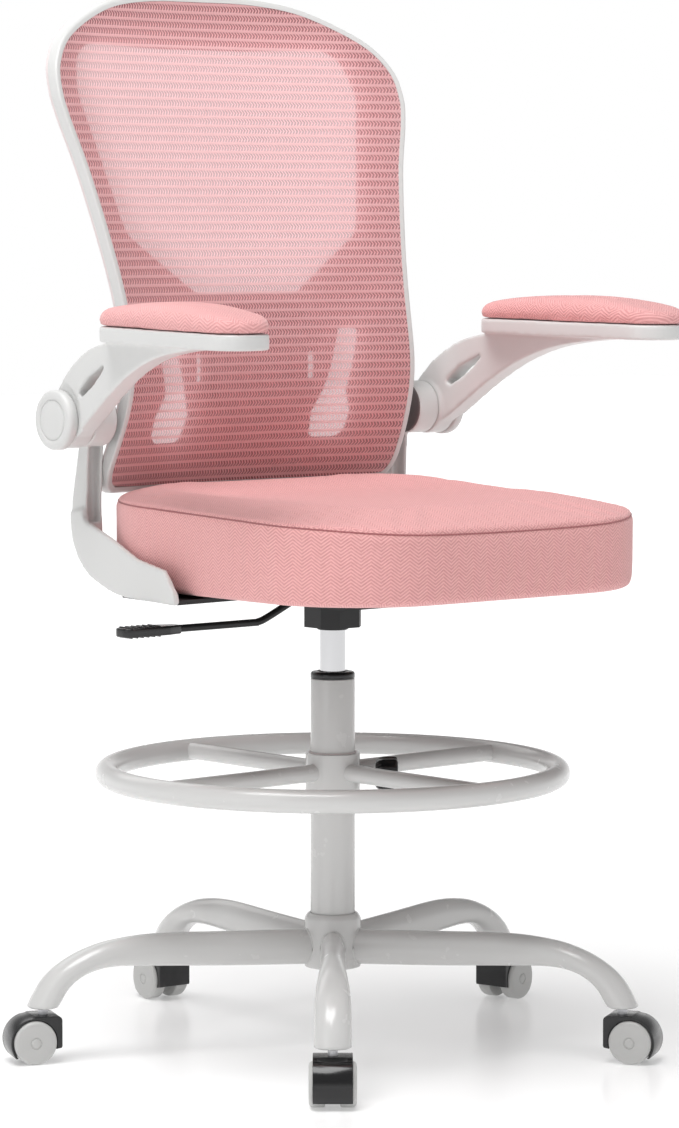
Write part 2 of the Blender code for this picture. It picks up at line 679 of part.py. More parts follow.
def curved_sheet(outline, holes, front, thickness):
    """Plate that follows the back's surface, from front to front plus thickness behind it."""
    shape = bmesh.new()
    edges = []
    for loop in [outline] + holes:
        verts = [shape.verts.new((x, 0.0, z)) for x, z in loop]
        edges += [shape.edges.new(pair) for pair in zip(verts, verts[1:] + verts[:1])]
    bmesh.ops.triangle_fill(shape, use_beauty=True, edges=edges)
    planes = [((0.0, 0.0, z), (0.0, 0.0, 1.0)) for z in BACK_ROWS]
    planes += [((x, 0.0, 0.0), (1.0, 0.0, 0.0)) for x in BACK_COLUMNS]
    for point, normal in planes:
        geometry = shape.verts[:] + shape.edges[:] + shape.faces[:]
        bmesh.ops.bisect_plane(shape, geom=geometry, plane_co=point, plane_no=normal, dist=WELD)
    near = shape.verts[:]
    extruded = bmesh.ops.extrude_face_region(shape, geom=shape.faces[:], use_keep_orig=True)
    far = [item for item in extruded["geom"] if isinstance(item, bmesh.types.BMVert)]
    for verts, depth in ((near, front), (far, front + thickness)):
        for vert in verts:
            vert.co.y = back_surface(vert.co.x, vert.co.z) + depth
    bmesh.ops.recalc_face_normals(shape, faces=shape.faces)
    return shape


def frame_shape():
    """Rim around the mesh, with its outer front edge eased."""
    section = (
        (GAP, -0.0010), (FRAME_LIP - 0.0018, -0.0010), (FRAME_LIP, 0.0010),
        (FRAME_LIP, FRAME_DEPTH), (GAP, FRAME_DEPTH),
    )
    outline = back_outline()
    loops = [offset_outline(outline, outward) for outward, depth in section]
    rings = []
    for i in range(len(outline)):
        ring = []
        for loop, (_, depth) in zip(loops, section):
            x, z = loop[i]
            ring.append((x, back_surface(x, z) + depth, z))
        rings.append(ring)
    return loft(rings, closed=True)


def mirror_pair(outline):
    """An outline on the +X side and its mirror image."""
    return [outline, [(-x, z) for x, z in reversed(outline)]]


def shell_holes():
    """Heart-shaped upper opening, two bottle-shaped lower ones and two short slots beside them."""
    heart = [
        (0.072, 0.826, 0.015), (0.166, 0.893, 0.030), (0.2015, 1.050, 0.040), (0.186, 1.103, 0.035),
        (0.060, 1.099, 0.050),
    ]
    heart += [(-x, z, radius) for x, z, radius in reversed(heart)]
    bottle = [
        (0.092, 0.662, 0.010), (0.140, 0.662, 0.014), (0.141, 0.692, 0.008), (0.131, 0.716, 0.008),
        (0.147, 0.786, 0.005), (0.119, 0.786, 0.005), (0.098, 0.716, 0.008), (0.088, 0.692, 0.008),
    ]
    slot = [(0.076, 0.729, 0.004), (0.085, 0.729, 0.004), (0.085, 0.761, 0.004), (0.076, 0.761, 0.004)]
    return [rounded(heart)] + mirror_pair(rounded(bottle, 2)) + mirror_pair(rounded(slot, 2))


def bar_shape():
    """Flat steel bar that leaves the seat level, bends up and follows the back of the shell."""
    half_width = 0.030
    half_thickness = 0.003
    clearance = SHELL_FRONT + SHELL_THICKNESS + GAP + half_thickness
    level = PLATE_TOP - half_thickness
    path = [(0.1000, level), (0.1800, level)]
    path += arc((0.1800, level + 0.030), 0.030, -60, -15, 3)
    for z, ease in ((0.600, 0.008), (0.640, 0.006), (0.670, 0.004), (0.700, 0.003), (0.730, 0.002)):
        path.append((back_surface(0.0, z) + clearance + ease, z))
    rings = []
    for i, (y, z) in enumerate(path):
        before = Vector(path[max(i - 1, 0)])
        after = Vector(path[min(i + 1, len(path) - 1)])
        run = (after - before).normalized()
        normal = Vector((0.0, -run[1], run[0])) * half_thickness
        centre = Vector((0.0, y, z))
        side = Vector((half_width, 0.0, 0.0))
        front = [centre + side + normal, centre - side + normal]
        rear = [centre - side - normal, centre + side - normal]
        rings.append(front + rear)
    return loft(rings)


def build_back(chair):
    """Mesh, rim, rear shell, lumbar support and the bar that carries them."""
    outline = back_outline()
    build("back_mesh", curved_sheet(outline, [], 0.0, MESH_THICKNESS), "pink_mesh", chair)
    build("back_frame", frame_shape(), "white_plastic", chair)
    shell_edge = offset_outline(outline, FRAME_LIP - 0.001)
    shell = curved_sheet(shell_edge, shell_holes(), SHELL_FRONT, SHELL_THICKNESS)
    build("back_shell", shell, "grey_plastic", chair)
    lumbar = rounded([
        (0.066, 0.770, 0.02), (0.056, 0.700, 0.02), (-0.056, 0.700, 0.02), (-0.066, 0.770, 0.02),
    ], 3)
    build("lumbar_support", curved_sheet(lumbar, [], LUMBAR_FRONT, LUMBAR_THICKNESS), "grey_plastic",
          chair, (0.0, back_surface(0.0, LUMBAR_HEIGHT), LUMBAR_HEIGHT))
    build("back_bar", bar_shape(), "black_steel", chair)


# ---------------------------------------------------------------- arms

def bracket_shape():
    """Side bracket: seat flange, foot beside the cushion, upright leg and inner half of the barrel."""
    bottom = PLATE_TOP - FLANGE_THICKNESS
    upright = rounded([
        (0.1380, 0.6900, 0.0), (0.1430, 0.6000, 0.0), (0.1400, 0.5450, 0.0), (0.1600, 0.5420, 0.010),
        (0.1710, 0.5700, 0.030), (0.1680, 0.6050, 0.040), (0.1500, 0.6900, 0.0),
    ], 3)
    leg = prism(upright, LEG_INNER_X, LEG_OUTER_X, "X")
    foot_outline = rounded([
        (0.1440, 0.5900, 0.0), (0.1420, 0.5810, 0.006), (0.0820, 0.5660, 0.010), (0.0280, 0.5480, 0.020),
        (-0.0300, 0.5400, 0.006), (-0.0540, 0.5150, 0.008), (-0.0540, bottom, 0.002),
        (0.0700, bottom + 0.0015, 0.060), (0.1300, 0.5225, 0.030), (0.1640, 0.5480, 0.020),
        (0.1710, 0.5900, 0.0),
    ], 3)
    foot = prism(foot_outline, FOOT_OUTER_X - FOOT_THICKNESS, FOOT_OUTER_X, "X")
    for vert in foot.verts:
        vert.co.x += (FOOT_REAR_Y - vert.co.y) * FOOT_SPLAY
    flange_outline = rounded([
        (FLANGE_INNER_X, -0.045, 0.012), (0.2560, -0.0520, 0.0), (0.2440, 0.0600, 0.0),
        (FLANGE_INNER_X, 0.070, 0.012),
    ], 3)
    flange = prism(flange_outline, bottom + 0.0001, PLATE_TOP, "Z")
    barrel = along_x(cylinder(BARREL_RADIUS, BARREL_INNER, BARREL_SPLIT - GAP, 20), PIVOT_Y, PIVOT_Z)
    pin_hole = along_x(cylinder(0.0063, 0.20, 0.26, 12), PIVOT_Y, PIVOT_Z)
    groove = box((0.2150, 0.130, 0.590), (0.2240, 0.1530, 0.655))
    return cut(join(leg, foot, flange, barrel), groove, pin_hole)


def splayed(shape):
    """Slant a shape outward towards the front, about the arm's pivot."""
    for vert in shape.verts:
        vert.co.x += (PIVOT_Y - vert.co.y) * ARM_SPLAY
    return shape


def pad_outline(inset, steps=8):
    """Plan outline of an arm pad, with round ends."""
    half_length = PAD_LENGTH / 2 - inset
    half_width = PAD_WIDTH / 2 - inset
    front = PAD_CENTRE_Y - half_length
    back = PAD_CENTRE_Y + half_length
    radius = half_width * 0.92
    corners = [
        (ARM_X + half_width, front, radius), (ARM_X + half_width, back, radius),
        (ARM_X - half_width, back, radius), (ARM_X - half_width, front, radius),
    ]
    return rounded(corners, steps)


def arm_shape():
    """Swept arm with a tapered slot, from the pivot's knuckle up to the plate under the pad."""
    half_width = 0.0125
    beam_outline = (
        (0.1060, 0.6760), (0.0900, 0.6860), (0.0680, 0.7010), (0.0320, 0.7250), (-0.0070, 0.7465),
        (-0.0510, 0.7625), (-0.0950, 0.7710), (-0.1500, 0.7765), (-0.1500, 0.7800), (0.0300, 0.7800),
        (0.0480, 0.7775), (0.0800, 0.7690), (0.1160, 0.7480), (0.1400, 0.7250), (0.1600, 0.7000),
    )
    beam = splayed(prism(beam_outline, ARM_X - half_width, ARM_X + half_width, "X"))
    plate = splayed(prism(pad_outline(0.0010, 6), PAD_BASE_BOTTOM, PAD_BASE_TOP, "Z"))
    knuckle = along_x(cylinder(KNUCKLE_RADIUS, BARREL_SPLIT, KNUCKLE_OUTER, 20), PIVOT_Y, PIVOT_Z)
    slot_outline = (
        (0.0420, 0.7570), (0.0530, 0.7430), (0.0690, 0.7310), (0.0900, 0.7200), (0.0970, 0.7240),
        (0.0770, 0.7410),
    )
    slot = prism(slot_outline, 0.20, 0.32, "X")
    pin_hole = along_x(cylinder(0.0063, 0.20, 0.30, 12), PIVOT_Y, PIVOT_Z)
    barrel_room = along_x(cylinder(0.040, 0.20, BARREL_SPLIT, 20), PIVOT_Y, PIVOT_Z)
    cap_room = along_x(cylinder(0.040, KNUCKLE_OUTER, 0.32, 20), PIVOT_Y, PIVOT_Z)
    beam = cut(beam, slot, barrel_room, cap_room)
    return cut(join(knuckle, beam, plate), pin_hole)


def pad_shape():
    """Soft arm pad with a flat top and rounded shoulders."""
    levels = [
        (0.0, PAD_BASE_TOP + GAP), (0.0, PAD_TOP - 0.014), (0.004, PAD_TOP - 0.005), (0.014, PAD_TOP),
    ]
    rings = [[(x, y, height) for x, y in pad_outline(inset, 6)] for inset, height in levels]
    return splayed(loft(rings))


def cap_shape():
    """Cap over the barrel's outer end, with a shallow ring in its face."""
    face = CAP_OUTER
    cap = turned([
        (0.0, KNUCKLE_OUTER + 0.0015), (0.0085, KNUCKLE_OUTER + 0.0015), (0.0085, KNUCKLE_OUTER + GAP),
        (CAP_RADIUS, KNUCKLE_OUTER + GAP), (CAP_RADIUS, face - 0.003), (CAP_RADIUS - 0.003, face),
        (0.0215, face), (0.0205, face - 0.0012), (0.0, face - 0.0012),
    ], 20)
    return along_x(cap, PIVOT_Y, PIVOT_Z)


def build_arms(chair):
    """Both arms: bracket, pivot pin, swinging arm, pad and cap."""
    for side, flip in (("left", False), ("right", True)):
        sign = -1.0 if flip else 1.0
        pivot = (sign * BARREL_SPLIT, PIVOT_Y, PIVOT_Z)
        pin = along_x(cylinder(0.006, BARREL_INNER + 0.002, KNUCKLE_OUTER, 12), PIVOT_Y, PIVOT_Z)
        pieces = (
            (f"side_bracket_{side}", bracket_shape(), "white_plastic"),
            (f"arm_pivot_pin_{side}", pin, "steel"),
            (f"arm_support_{side}", arm_shape(), "white_plastic"),
            (f"arm_pad_{side}", pad_shape(), "pink_fabric"),
            (f"arm_pivot_cap_{side}", cap_shape(), "white_plastic"),
        )
        for name, shape, look in pieces:
            build(name, mirrored(shape) if flip else shape, look, chair, pivot)


def main():
    clear_scene()
    chair = add_empty("chair", location=(COLUMN_X, COLUMN_Y, 0.0))
    build_base(chair)
    build_column(chair)
    build_foot_ring(chair)
    build_mechanism(chair)
    build_seat(chair)
    build_back(chair)
    build_arms(chair)


main()
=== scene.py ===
"""Looks of the drafting chair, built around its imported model."""

import json
import math

import bmesh
import bpy
import numpy as np
from mathutils import Matrix, Vector
from mathutils.bvhtree import BVHTree


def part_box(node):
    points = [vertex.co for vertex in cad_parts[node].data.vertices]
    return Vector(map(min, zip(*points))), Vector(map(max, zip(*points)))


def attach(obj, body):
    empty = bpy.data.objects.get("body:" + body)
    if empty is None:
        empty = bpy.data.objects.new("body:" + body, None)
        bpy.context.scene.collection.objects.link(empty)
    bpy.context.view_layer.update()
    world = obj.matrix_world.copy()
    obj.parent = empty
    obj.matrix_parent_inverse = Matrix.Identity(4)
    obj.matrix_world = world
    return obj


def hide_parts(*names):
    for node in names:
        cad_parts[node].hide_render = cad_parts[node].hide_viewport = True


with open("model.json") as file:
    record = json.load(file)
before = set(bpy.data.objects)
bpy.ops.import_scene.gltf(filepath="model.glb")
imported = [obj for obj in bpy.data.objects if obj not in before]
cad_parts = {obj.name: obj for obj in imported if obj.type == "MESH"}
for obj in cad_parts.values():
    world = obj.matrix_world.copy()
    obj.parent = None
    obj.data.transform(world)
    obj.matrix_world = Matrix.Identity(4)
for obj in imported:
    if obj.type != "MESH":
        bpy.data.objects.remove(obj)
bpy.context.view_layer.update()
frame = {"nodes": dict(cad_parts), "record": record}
NODES = frame["nodes"]
WELD = 1e-6


def middle(node):
    """Centre of a CAD node's box."""
    low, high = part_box(node)
    return (low + high) / 2


# The column's axis; every shape below is drawn about it and then moved there.
COLUMN = Vector((middle("column_tube").x, middle("column_tube").y, 0.0))

# Camera.
CAMERA_AZIMUTH = math.radians(40)
CAMERA_DISTANCE = 4.66
CAMERA_HEIGHT = 0.9128
CAMERA_PITCH = 0.0816
CAMERA_YAW = 0.0016
CAMERA_LENS = 135.9255
CAMERA_SENSOR = 36.0

# Studio: the light's strength by height above the horizon, the floor's glow by distance, the soft boxes.
HORIZON_LIGHT = 1.0
HORIZON_RISE = 0.08
SKY_LIGHT = 0.30
SKY_RISE = 0.28
FLOOR_HALF_WIDTH = 14.0
FLOOR_GLOW_NEAR = 0.24
FLOOR_NEAR = 0.6
FLOOR_GLOW_FAR = 0.66
FLOOR_FAR = 3.6
AIM_HEIGHT = 0.6
SOFT_BOXES = (
    ("key", (-1.2, -0.4, 4.4), (2.6, 2.6), 158.0),
    ("fill", (-3.2, -0.8, 1.9), (1.6, 2.4), 11.0),
    ("rear", (0.6, 3.2, 2.6), (2.6, 1.6), 14.0),
)

# Shape tools and simulation.
MOULD_VOXEL = 0.0018
MOULD_ROUNDS = 7
CLOTH_PRESSURE = 4.0
CLOTH_FRAMES = 20

# Base and casters.
LEG_COUNT = 5
FIRST_LEG_ANGLE = math.radians(-130)
STEM_REACH = 0.330
LEG_END = 0.0605
HUB_RADIUS = 0.031
HUB_BOTTOM = 0.086
HUB_TOP = 0.146
LEG_SECTIONS = (
    (0.022, 0.1090, 0, 0.0135, 0.0195),
    (0.120, 0.1120, 2, 0.0135, 0.0190),
    (0.200, 0.1150, 0, 0.0142, 0.0180),
    (0.248, 0.1138, -7, 0.0162, 0.0150),
    (0.277, 0.1080, -18, 0.0180, 0.0132),
    (0.300, 0.0970, -38, 0.0192, 0.0132),
    (0.317, 0.0820, -58, 0.0197, 0.0148),
    (0.330, LEG_END, -90, 0.0197, 0.0170),
)
WHEEL_RADIUS = 0.0237
WHEEL_TRAIL = 0.0135
WHEEL_INNER = 0.0077
WHEEL_OUTER = 0.0252
HOOD_RADIUS = 0.0268
HOOD_HALF_WIDTH = 0.0207
HOOD_TOP = 0.0515
HOOD_BACK = -0.0165
WEB_HALF_WIDTH = 0.0072

# Column and foot ring.
TUBE_RADIUS = 0.0245
TUBE_WALL = 0.0017
TUBE_BOTTOM = 0.092
TUBE_TOP = 0.406
COLLAR_TOP = 0.414
BUSH_BOTTOM = 0.315
CYLINDER_RADIUS = 0.0142
RING_HEIGHT = 0.303
RING_RADIUS = 0.249
RING_TUBE = 0.0125
SPOKE_TUBE = 0.0095
SPOKE_ANGLE = math.radians(2)
RING_HUB_RADIUS = 0.030
RING_HUB_BORE = 0.0265
RING_HUB_BOTTOM = 0.276
RING_HUB_TOP = 0.324
CLAMP_ANGLE = math.radians(-40)
CLAMP_HEIGHT = 0.300

# Lever.
LEVER_PIVOT_HEIGHT = 0.4998
LEVER_LOW = 0.474
LEVER_ROD = 0.004

# Seat.
SEAT_HALF_WIDTH = 0.242
SEAT_FRONT = -0.305
SEAT_BACK = 0.165
SEAT_CORNER = 0.130
SEAT_POINTS = 240
SEAT_RIM = 0.5120
SEAT_BOTTOM = 0.516
SEAT_TOP = 0.619
SEAM_SIDE = 0.6065
SEAM_FRONT = 0.5910
SEAM_DIP = 0.0065
PANEL_RADIUS = 0.25
PANEL_TURN = 0.55
CREST_DROP = 0.0150
DISH_REAR = 0.0150
DISH_FRONT = 0.0010

# Back.
BACK_RIDGE = 0.728
BACK_HOLLOW = 0.60
FRAME_LIP = 0.0068
FRAME_DEPTH = 0.0150
SHELL_FRONT = 0.0155
SHELL_THICKNESS = 0.0040
RIB_PITCH = 0.0098
RIB_RELIEF = 0.0006
RIB_EDGE = (0.30, 0.37)
THREAD_PITCH = 0.0040
THREAD_SLANT = 1.9
THREAD_SHIFT = 200.0
THREAD_EDGE = (0.22, 0.28)
KNIT_PITCH = 0.0021
NET_SOLID_COVER = 0.92
# Share of each hole covered with the net's dark colour: painted shade of the shell behind the mesh.
NET_HOLE_SHADE_COVER = 0.58
NET_BACKLIGHT = 0.38
BACK_HALF_OUTLINE = (
    (0.000, 1.1525), (0.075, 1.1510), (0.140, 1.1400), (0.205, 1.1100), (0.2335, 1.0800),
    (0.2405, 1.0500), (0.2365, 1.0200), (0.2205, 0.9600), (0.2045, 0.8700), (0.1975, 0.8000),
    (0.1975, 0.7200), (0.2006, 0.6600), (0.2000, 0.6320), (0.1910, 0.6185), (0.165, 0.6165),
    (0.000, 0.6165),
)

# Arms.
PIVOT_Y = 0.132
PIVOT_Z = 0.6935
BARREL_INNER = 0.217
BARREL_SPLIT = 0.246
KNUCKLE_OUTER = 0.2715
CAP_OUTER = 0.284
BARREL_RADIUS = 0.030
KNUCKLE_RADIUS = 0.031
CAP_RADIUS = 0.0325
ARM_SPLAY = math.tan(math.radians(6))
ARM_X = 0.259
PAD_CENTRE_Y = -0.0965
PAD_LENGTH = 0.270
PAD_WIDTH = 0.075
PAD_BASE_BOTTOM = 0.7765
PAD_BASE_TOP = 0.7932
PAD_TOP = 0.822
PAD_REAR_RISE = 0.0040
LEG_INNER_X = 0.2079
LEG_OUTER_X = 0.231
FOOT_OUTER_X = 0.2335
FOOT_THICKNESS = 0.008
FOOT_REAR_Y = 0.160
FOOT_SPLAY = 0.1395
FLANGE_INNER_X = 0.140
FLANGE_TOP = 0.5094
FLANGE_THICKNESS = 0.005


# ---------------------------------------------------------------- camera, stage and light

def make_camera():
    """Camera at the front right of the chair, a little below the arms' height."""
    data = bpy.data.cameras.new("camera")
    data.sensor_fit = "VERTICAL"
    data.sensor_height = CAMERA_SENSOR
    data.lens = CAMERA_LENS
    data.clip_end = 60.0
    camera = bpy.data.objects.new("camera", data)
    away = Vector((-math.sin(CAMERA_AZIMUTH), -math.cos(CAMERA_AZIMUTH), 0.0)) * CAMERA_DISTANCE
    camera.location = COLUMN + away + Vector((0.0, 0.0, CAMERA_HEIGHT))
    camera.rotation_euler = (math.pi / 2 - CAMERA_PITCH, 0.0, -CAMERA_AZIMUTH - CAMERA_YAW)
    bpy.context.scene.collection.objects.link(camera)
    bpy.context.scene.camera = camera


def add_area(name, location, size, energy):
    """Soft box that points at the seat."""
    data = bpy.data.lights.new(name, "AREA")
    data.shape = "RECTANGLE"
    data.size = size[0]
    data.size_y = size[1]
    data.energy = energy
    light = bpy.data.objects.new(name, data)
    light.location = location
    aim = Vector((0.0, 0.0, AIM_HEIGHT)) - Vector(location)
    light.rotation_euler = aim.to_track_quat("-Z", "Y").to_euler()
    bpy.context.scene.collection.objects.link(light)


def make_world():
    """White surroundings: bright at the horizon, dimmer overhead."""
    world = bpy.data.worlds.new("studio")
    world.use_nodes = True
    tree = world.node_tree
    background = tree.nodes["Background"]
    background.inputs["Color"].default_value = (1.0, 1.0, 1.0, 1.0)
    direction = node(tree, "ShaderNodeTexCoord").outputs["Generated"]
    rise = node(tree, "ShaderNodeSeparateXYZ", {0: direction}).outputs[2]
    sky = remapped(tree, rise, HORIZON_RISE, SKY_RISE, HORIZON_LIGHT, SKY_LIGHT)
    tree.links.new(sky, background.inputs["Strength"])
    bpy.context.scene.world = world


def make_floor():
    """White floor that glows a little, more so far away, where the soft boxes don't reach."""
    mesh = bpy.data.meshes.new("floor")
    span = FLOOR_HALF_WIDTH
    corners = [(-span, -span, 0), (span, -span, 0), (span, span, 0), (-span, span, 0)]
    mesh.from_pydata(corners, [], [(0, 1, 2, 3)])
    item = bpy.data.objects.new("floor", mesh)
    bpy.context.scene.collection.objects.link(item)
    look, shader, tree = new_material("floor_white", (0.93, 0.93, 0.93), 0.22)
    shader.inputs["Specular IOR Level"].default_value = 0.35
    shader.inputs["Emission Color"].default_value = (1.0, 1.0, 1.0, 1.0)
    where = node(tree, "ShaderNodeTexCoord").outputs["Object"]
    reach = node(tree, "ShaderNodeVectorMath", {0: where}, operation="LENGTH").outputs["Value"]
    glow = remapped(tree, reach, FLOOR_NEAR, FLOOR_FAR, FLOOR_GLOW_NEAR, FLOOR_GLOW_FAR)
    tree.links.new(glow, shader.inputs["Emission Strength"])
    item.data.materials.append(look)


def make_stage():
    """Surroundings, floor and soft boxes."""
    make_world()
    make_floor()
    for name, location, size, energy in SOFT_BOXES:
        add_area(name, location, size, energy)
    bpy.context.scene.view_settings.view_transform = "Standard"


# ---------------------------------------------------------------- materials

def new_material(name, colour, roughness, metallic=0.0):
    """Principled material; returns it with its shader and its node tree."""
    material = bpy.data.materials.new(name)
    material.use_nodes = True
    tree = material.node_tree
    shader = tree.nodes["Principled BSDF"]
    shader.inputs["Base Color"].default_value = (*colour, 1.0)
    shader.inputs["Roughness"].default_value = roughness
    shader.inputs["Metallic"].default_value = metallic
    return material, shader, tree


def node(tree, kind, inputs=(), **settings):
    """Add a node, set its settings, and set or link its inputs."""
    made = tree.nodes.new(kind)
    for key, value in settings.items():
        setattr(made, key, value)
    for key, value in dict(inputs).items():
        if isinstance(value, bpy.types.NodeSocket):
            tree.links.new(value, made.inputs[key])
        else:
            made.inputs[key].default_value = value
    return made


def calc(tree, operation, first, second=0.0, third=0.0):
    """Math node's output."""
    values = {0: first, 1: second, 2: third}
    return node(tree, "ShaderNodeMath", values, operation=operation).outputs[0]


def place_of(tree):
    """Object coordinates, whole and split into X, Y and Z."""
    where = node(tree, "ShaderNodeTexCoord").outputs["Object"]
    split = node(tree, "ShaderNodeSeparateXYZ", {0: where})
    return where, split.outputs[0], split.outputs[1], split.outputs[2]


def noise(tree, where, scale, detail=3.0):
    """Noise texture's value."""
    values = {"Vector": where, "Scale": scale, "Detail": detail}
    return node(tree, "ShaderNodeTexNoise", values).outputs[0]


def mix_colours(tree, share, first, second):
    """Colour between two colours or sockets."""
    made = node(tree, "ShaderNodeMix", data_type="RGBA")
    for socket, value in ((made.inputs[0], share), (made.inputs[6], first), (made.inputs[7], second)):
        if isinstance(value, bpy.types.NodeSocket):
            tree.links.new(value, socket)
        else:
            socket.default_value = (*value, 1.0) if isinstance(value, tuple) else value
    return made.outputs[2]


def remapped(tree, value, first, last, low, high):
    """Value from first..last mapped to low..high, and held there."""
    return node(tree, "ShaderNodeMapRange", {0: value, 1: first, 2: last, 3: low, 4: high}).outputs[0]


def spread(tree, value, low, high):
    """Value from 0..1 mapped to low..high."""
    return remapped(tree, value, 0.0, 1.0, low, high)


def relief(tree, shader, height, strength, distance):
    """Bump from a height."""
    bump = node(tree, "ShaderNodeBump", {"Height": height, "Strength": strength, "Distance": distance})
    tree.links.new(bump.outputs[0], shader.inputs["Normal"])


def moulded(name, colour, roughness, tint=0.03, grain=900.0, depth=0.00006, metallic=0.0, coat=0.0):
    """Moulded or painted surface: slight drift of colour and gloss, and a fine grain."""
    material, shader, tree = new_material(name, colour, roughness, metallic)
    where = place_of(tree)[0]
    drift = noise(tree, where, 6.0)
    darker = tuple(c * (1.0 - tint) for c in colour)
    tree.links.new(mix_colours(tree, drift, darker, colour), shader.inputs["Base Color"])
    gloss = noise(tree, where, 45.0)
    tree.links.new(spread(tree, gloss, roughness * 0.85, roughness * 1.15), shader.inputs["Roughness"])
    relief(tree, shader, noise(tree, where, grain, 2.0), 0.35, depth)
    shader.inputs["Coat Weight"].default_value = coat
    shader.inputs["Coat Roughness"].default_value = 0.12
    return material


def herringbone(tree, across, along, pitch, stripe):
    """Height of a twill whose slope turns over from stripe to stripe."""
    folded = calc(tree, "PINGPONG", across, stripe)
    diagonal = calc(tree, "ADD", along, folded)
    turns = calc(tree, "MULTIPLY", diagonal, math.tau / pitch)
    wave = calc(tree, "SINE", turns)
    return calc(tree, "MULTIPLY_ADD", wave, 0.5, 0.5)


def fabric(name, light, dark, pitch=0.0036, stripe=0.0072):
    """Herringbone twill with slubs; it runs around the side panels, and straight over the flat ones."""
    material, shader, tree = new_material(name, light, 0.88)
    where, x, y, z = place_of(tree)
    normal = node(tree, "ShaderNodeTexCoord").outputs["Normal"]
    facing = calc(tree, "ABSOLUTE", node(tree, "ShaderNodeSeparateXYZ", {0: normal}).outputs[2])
    flat = calc(tree, "GREATER_THAN", facing, PANEL_TURN)
    around = calc(tree, "MULTIPLY", calc(tree, "ARCTAN2", y, x), PANEL_RADIUS)
    across = node(tree, "ShaderNodeMix", {0: flat, 2: around, 3: x}).outputs[0]
    along = node(tree, "ShaderNodeMix", {0: flat, 2: z, 3: y}).outputs[0]
    twill = herringbone(tree, across, along, pitch, stripe)
    fibres = noise(tree, where, 1400.0, 2.0)
    slubs = noise(tree, where, 260.0, 3.0)
    shade = calc(tree, "MULTIPLY_ADD", twill, 0.72, calc(tree, "MULTIPLY", slubs, 0.45))
    slow = noise(tree, where, 5.0)
    base = mix_colours(tree, shade, dark, light)
    paler = tuple(min(1.0, c * 1.05) for c in light)
    faded = mix_colours(tree, spread(tree, slow, 0.0, 0.35), base, paler)
    tree.links.new(faded, shader.inputs["Base Color"])
    height = calc(tree, "MULTIPLY_ADD", fibres, 0.45, calc(tree, "MULTIPLY", twill, 0.75))
    relief(tree, shader, height, 0.65, 0.0008)
    tree.links.new(spread(tree, fibres, 0.80, 0.98), shader.inputs["Roughness"])
    shader.inputs["Sheen Weight"].default_value = 0.28
    shader.inputs["Sheen Roughness"].default_value = 0.45
    shader.inputs["Specular IOR Level"].default_value = 0.25
    return material


def net(name, light, dark):
    """Spacer mesh: firm ribs with rows of open zigzag threads between them; the holes are partly covered
    with the dark colour, painted shade of the shell seen through them.
    """
    material, shader, tree = new_material(name, light, 0.85)
    where, x, _, z = place_of(tree)
    row = calc(tree, "DIVIDE", calc(tree, "SUBTRACT", z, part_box("back_mesh")[0].z), RIB_PITCH)
    beside = calc(tree, "PINGPONG", row, 0.5)
    on_rib = remapped(tree, beside, *RIB_EDGE, 0.0, 1.0)
    slant = calc(tree, "MULTIPLY_ADD", beside, THREAD_SLANT, calc(tree, "DIVIDE", x, THREAD_PITCH))
    loose = calc(tree, "MULTIPLY_ADD", noise(tree, where, 300.0, 1.0), 0.25, slant)
    off_thread = calc(tree, "PINGPONG", calc(tree, "ADD", loose, THREAD_SHIFT), 0.5)
    on_thread = remapped(tree, off_thread, *THREAD_EDGE, 0.0, 1.0)
    solid = calc(tree, "MAXIMUM", on_thread, on_rib)
    # The holes keep part cover in the dark colour: painted shade of the shell seen through them.
    cover = calc(tree, "MULTIPLY_ADD", solid, NET_SOLID_COVER - NET_HOLE_SHADE_COVER, NET_HOLE_SHADE_COVER)
    fibres = noise(tree, where, 900.0, 2.0)
    knit = calc(tree, "SINE", calc(tree, "MULTIPLY", x, math.tau / KNIT_PITCH))
    thread_shade = calc(tree, "MULTIPLY", on_thread, calc(tree, "MULTIPLY_ADD", fibres, 0.2, 0.84))
    rib_shade = calc(tree, "MULTIPLY", on_rib, calc(tree, "MULTIPLY_ADD", fibres, 0.25, 0.85))
    shade = calc(tree, "MAXIMUM", thread_shade, rib_shade)
    colour = mix_colours(tree, shade, dark, light)
    tree.links.new(colour, shader.inputs["Base Color"])
    height = calc(tree, "MULTIPLY_ADD", knit, 0.25, calc(tree, "MULTIPLY", beside, 1.6))
    relief(tree, shader, height, 0.6, 0.0006)
    shader.inputs["Sheen Weight"].default_value = 0.2
    shader.inputs["Specular IOR Level"].default_value = 0.2
    backlit = node(tree, "ShaderNodeBsdfTranslucent", {"Color": colour}).outputs[0]
    layers = {0: NET_BACKLIGHT, 1: shader.outputs[0], 2: backlit}
    cloth = node(tree, "ShaderNodeMixShader", layers).outputs[0]
    open_part = node(tree, "ShaderNodeBsdfTransparent").outputs[0]
    whole = node(tree, "ShaderNodeMixShader", {0: cover, 1: open_part, 2: cloth}).outputs[0]
    tree.links.new(whole, tree.nodes["Material Output"].inputs["Surface"])
    return material


def plywood(name):
    """Dark ply with long grain."""
    dark = (0.07, 0.05, 0.04)
    light = (0.13, 0.095, 0.07)
    material, shader, tree = new_material(name, (0.10, 0.07, 0.055), 0.62)
    where = place_of(tree)[0]
    stretched = node(tree, "ShaderNodeMapping", {"Vector": where, "Scale": (40.0, 3.0, 40.0)}).outputs[0]
    grain = noise(tree, stretched, 2.4, 5.0)
    wood = mix_colours(tree, grain, dark, light)
    tree.links.new(wood, shader.inputs["Base Color"])
    relief(tree, shader, grain, 0.3, 0.0004)
    return material


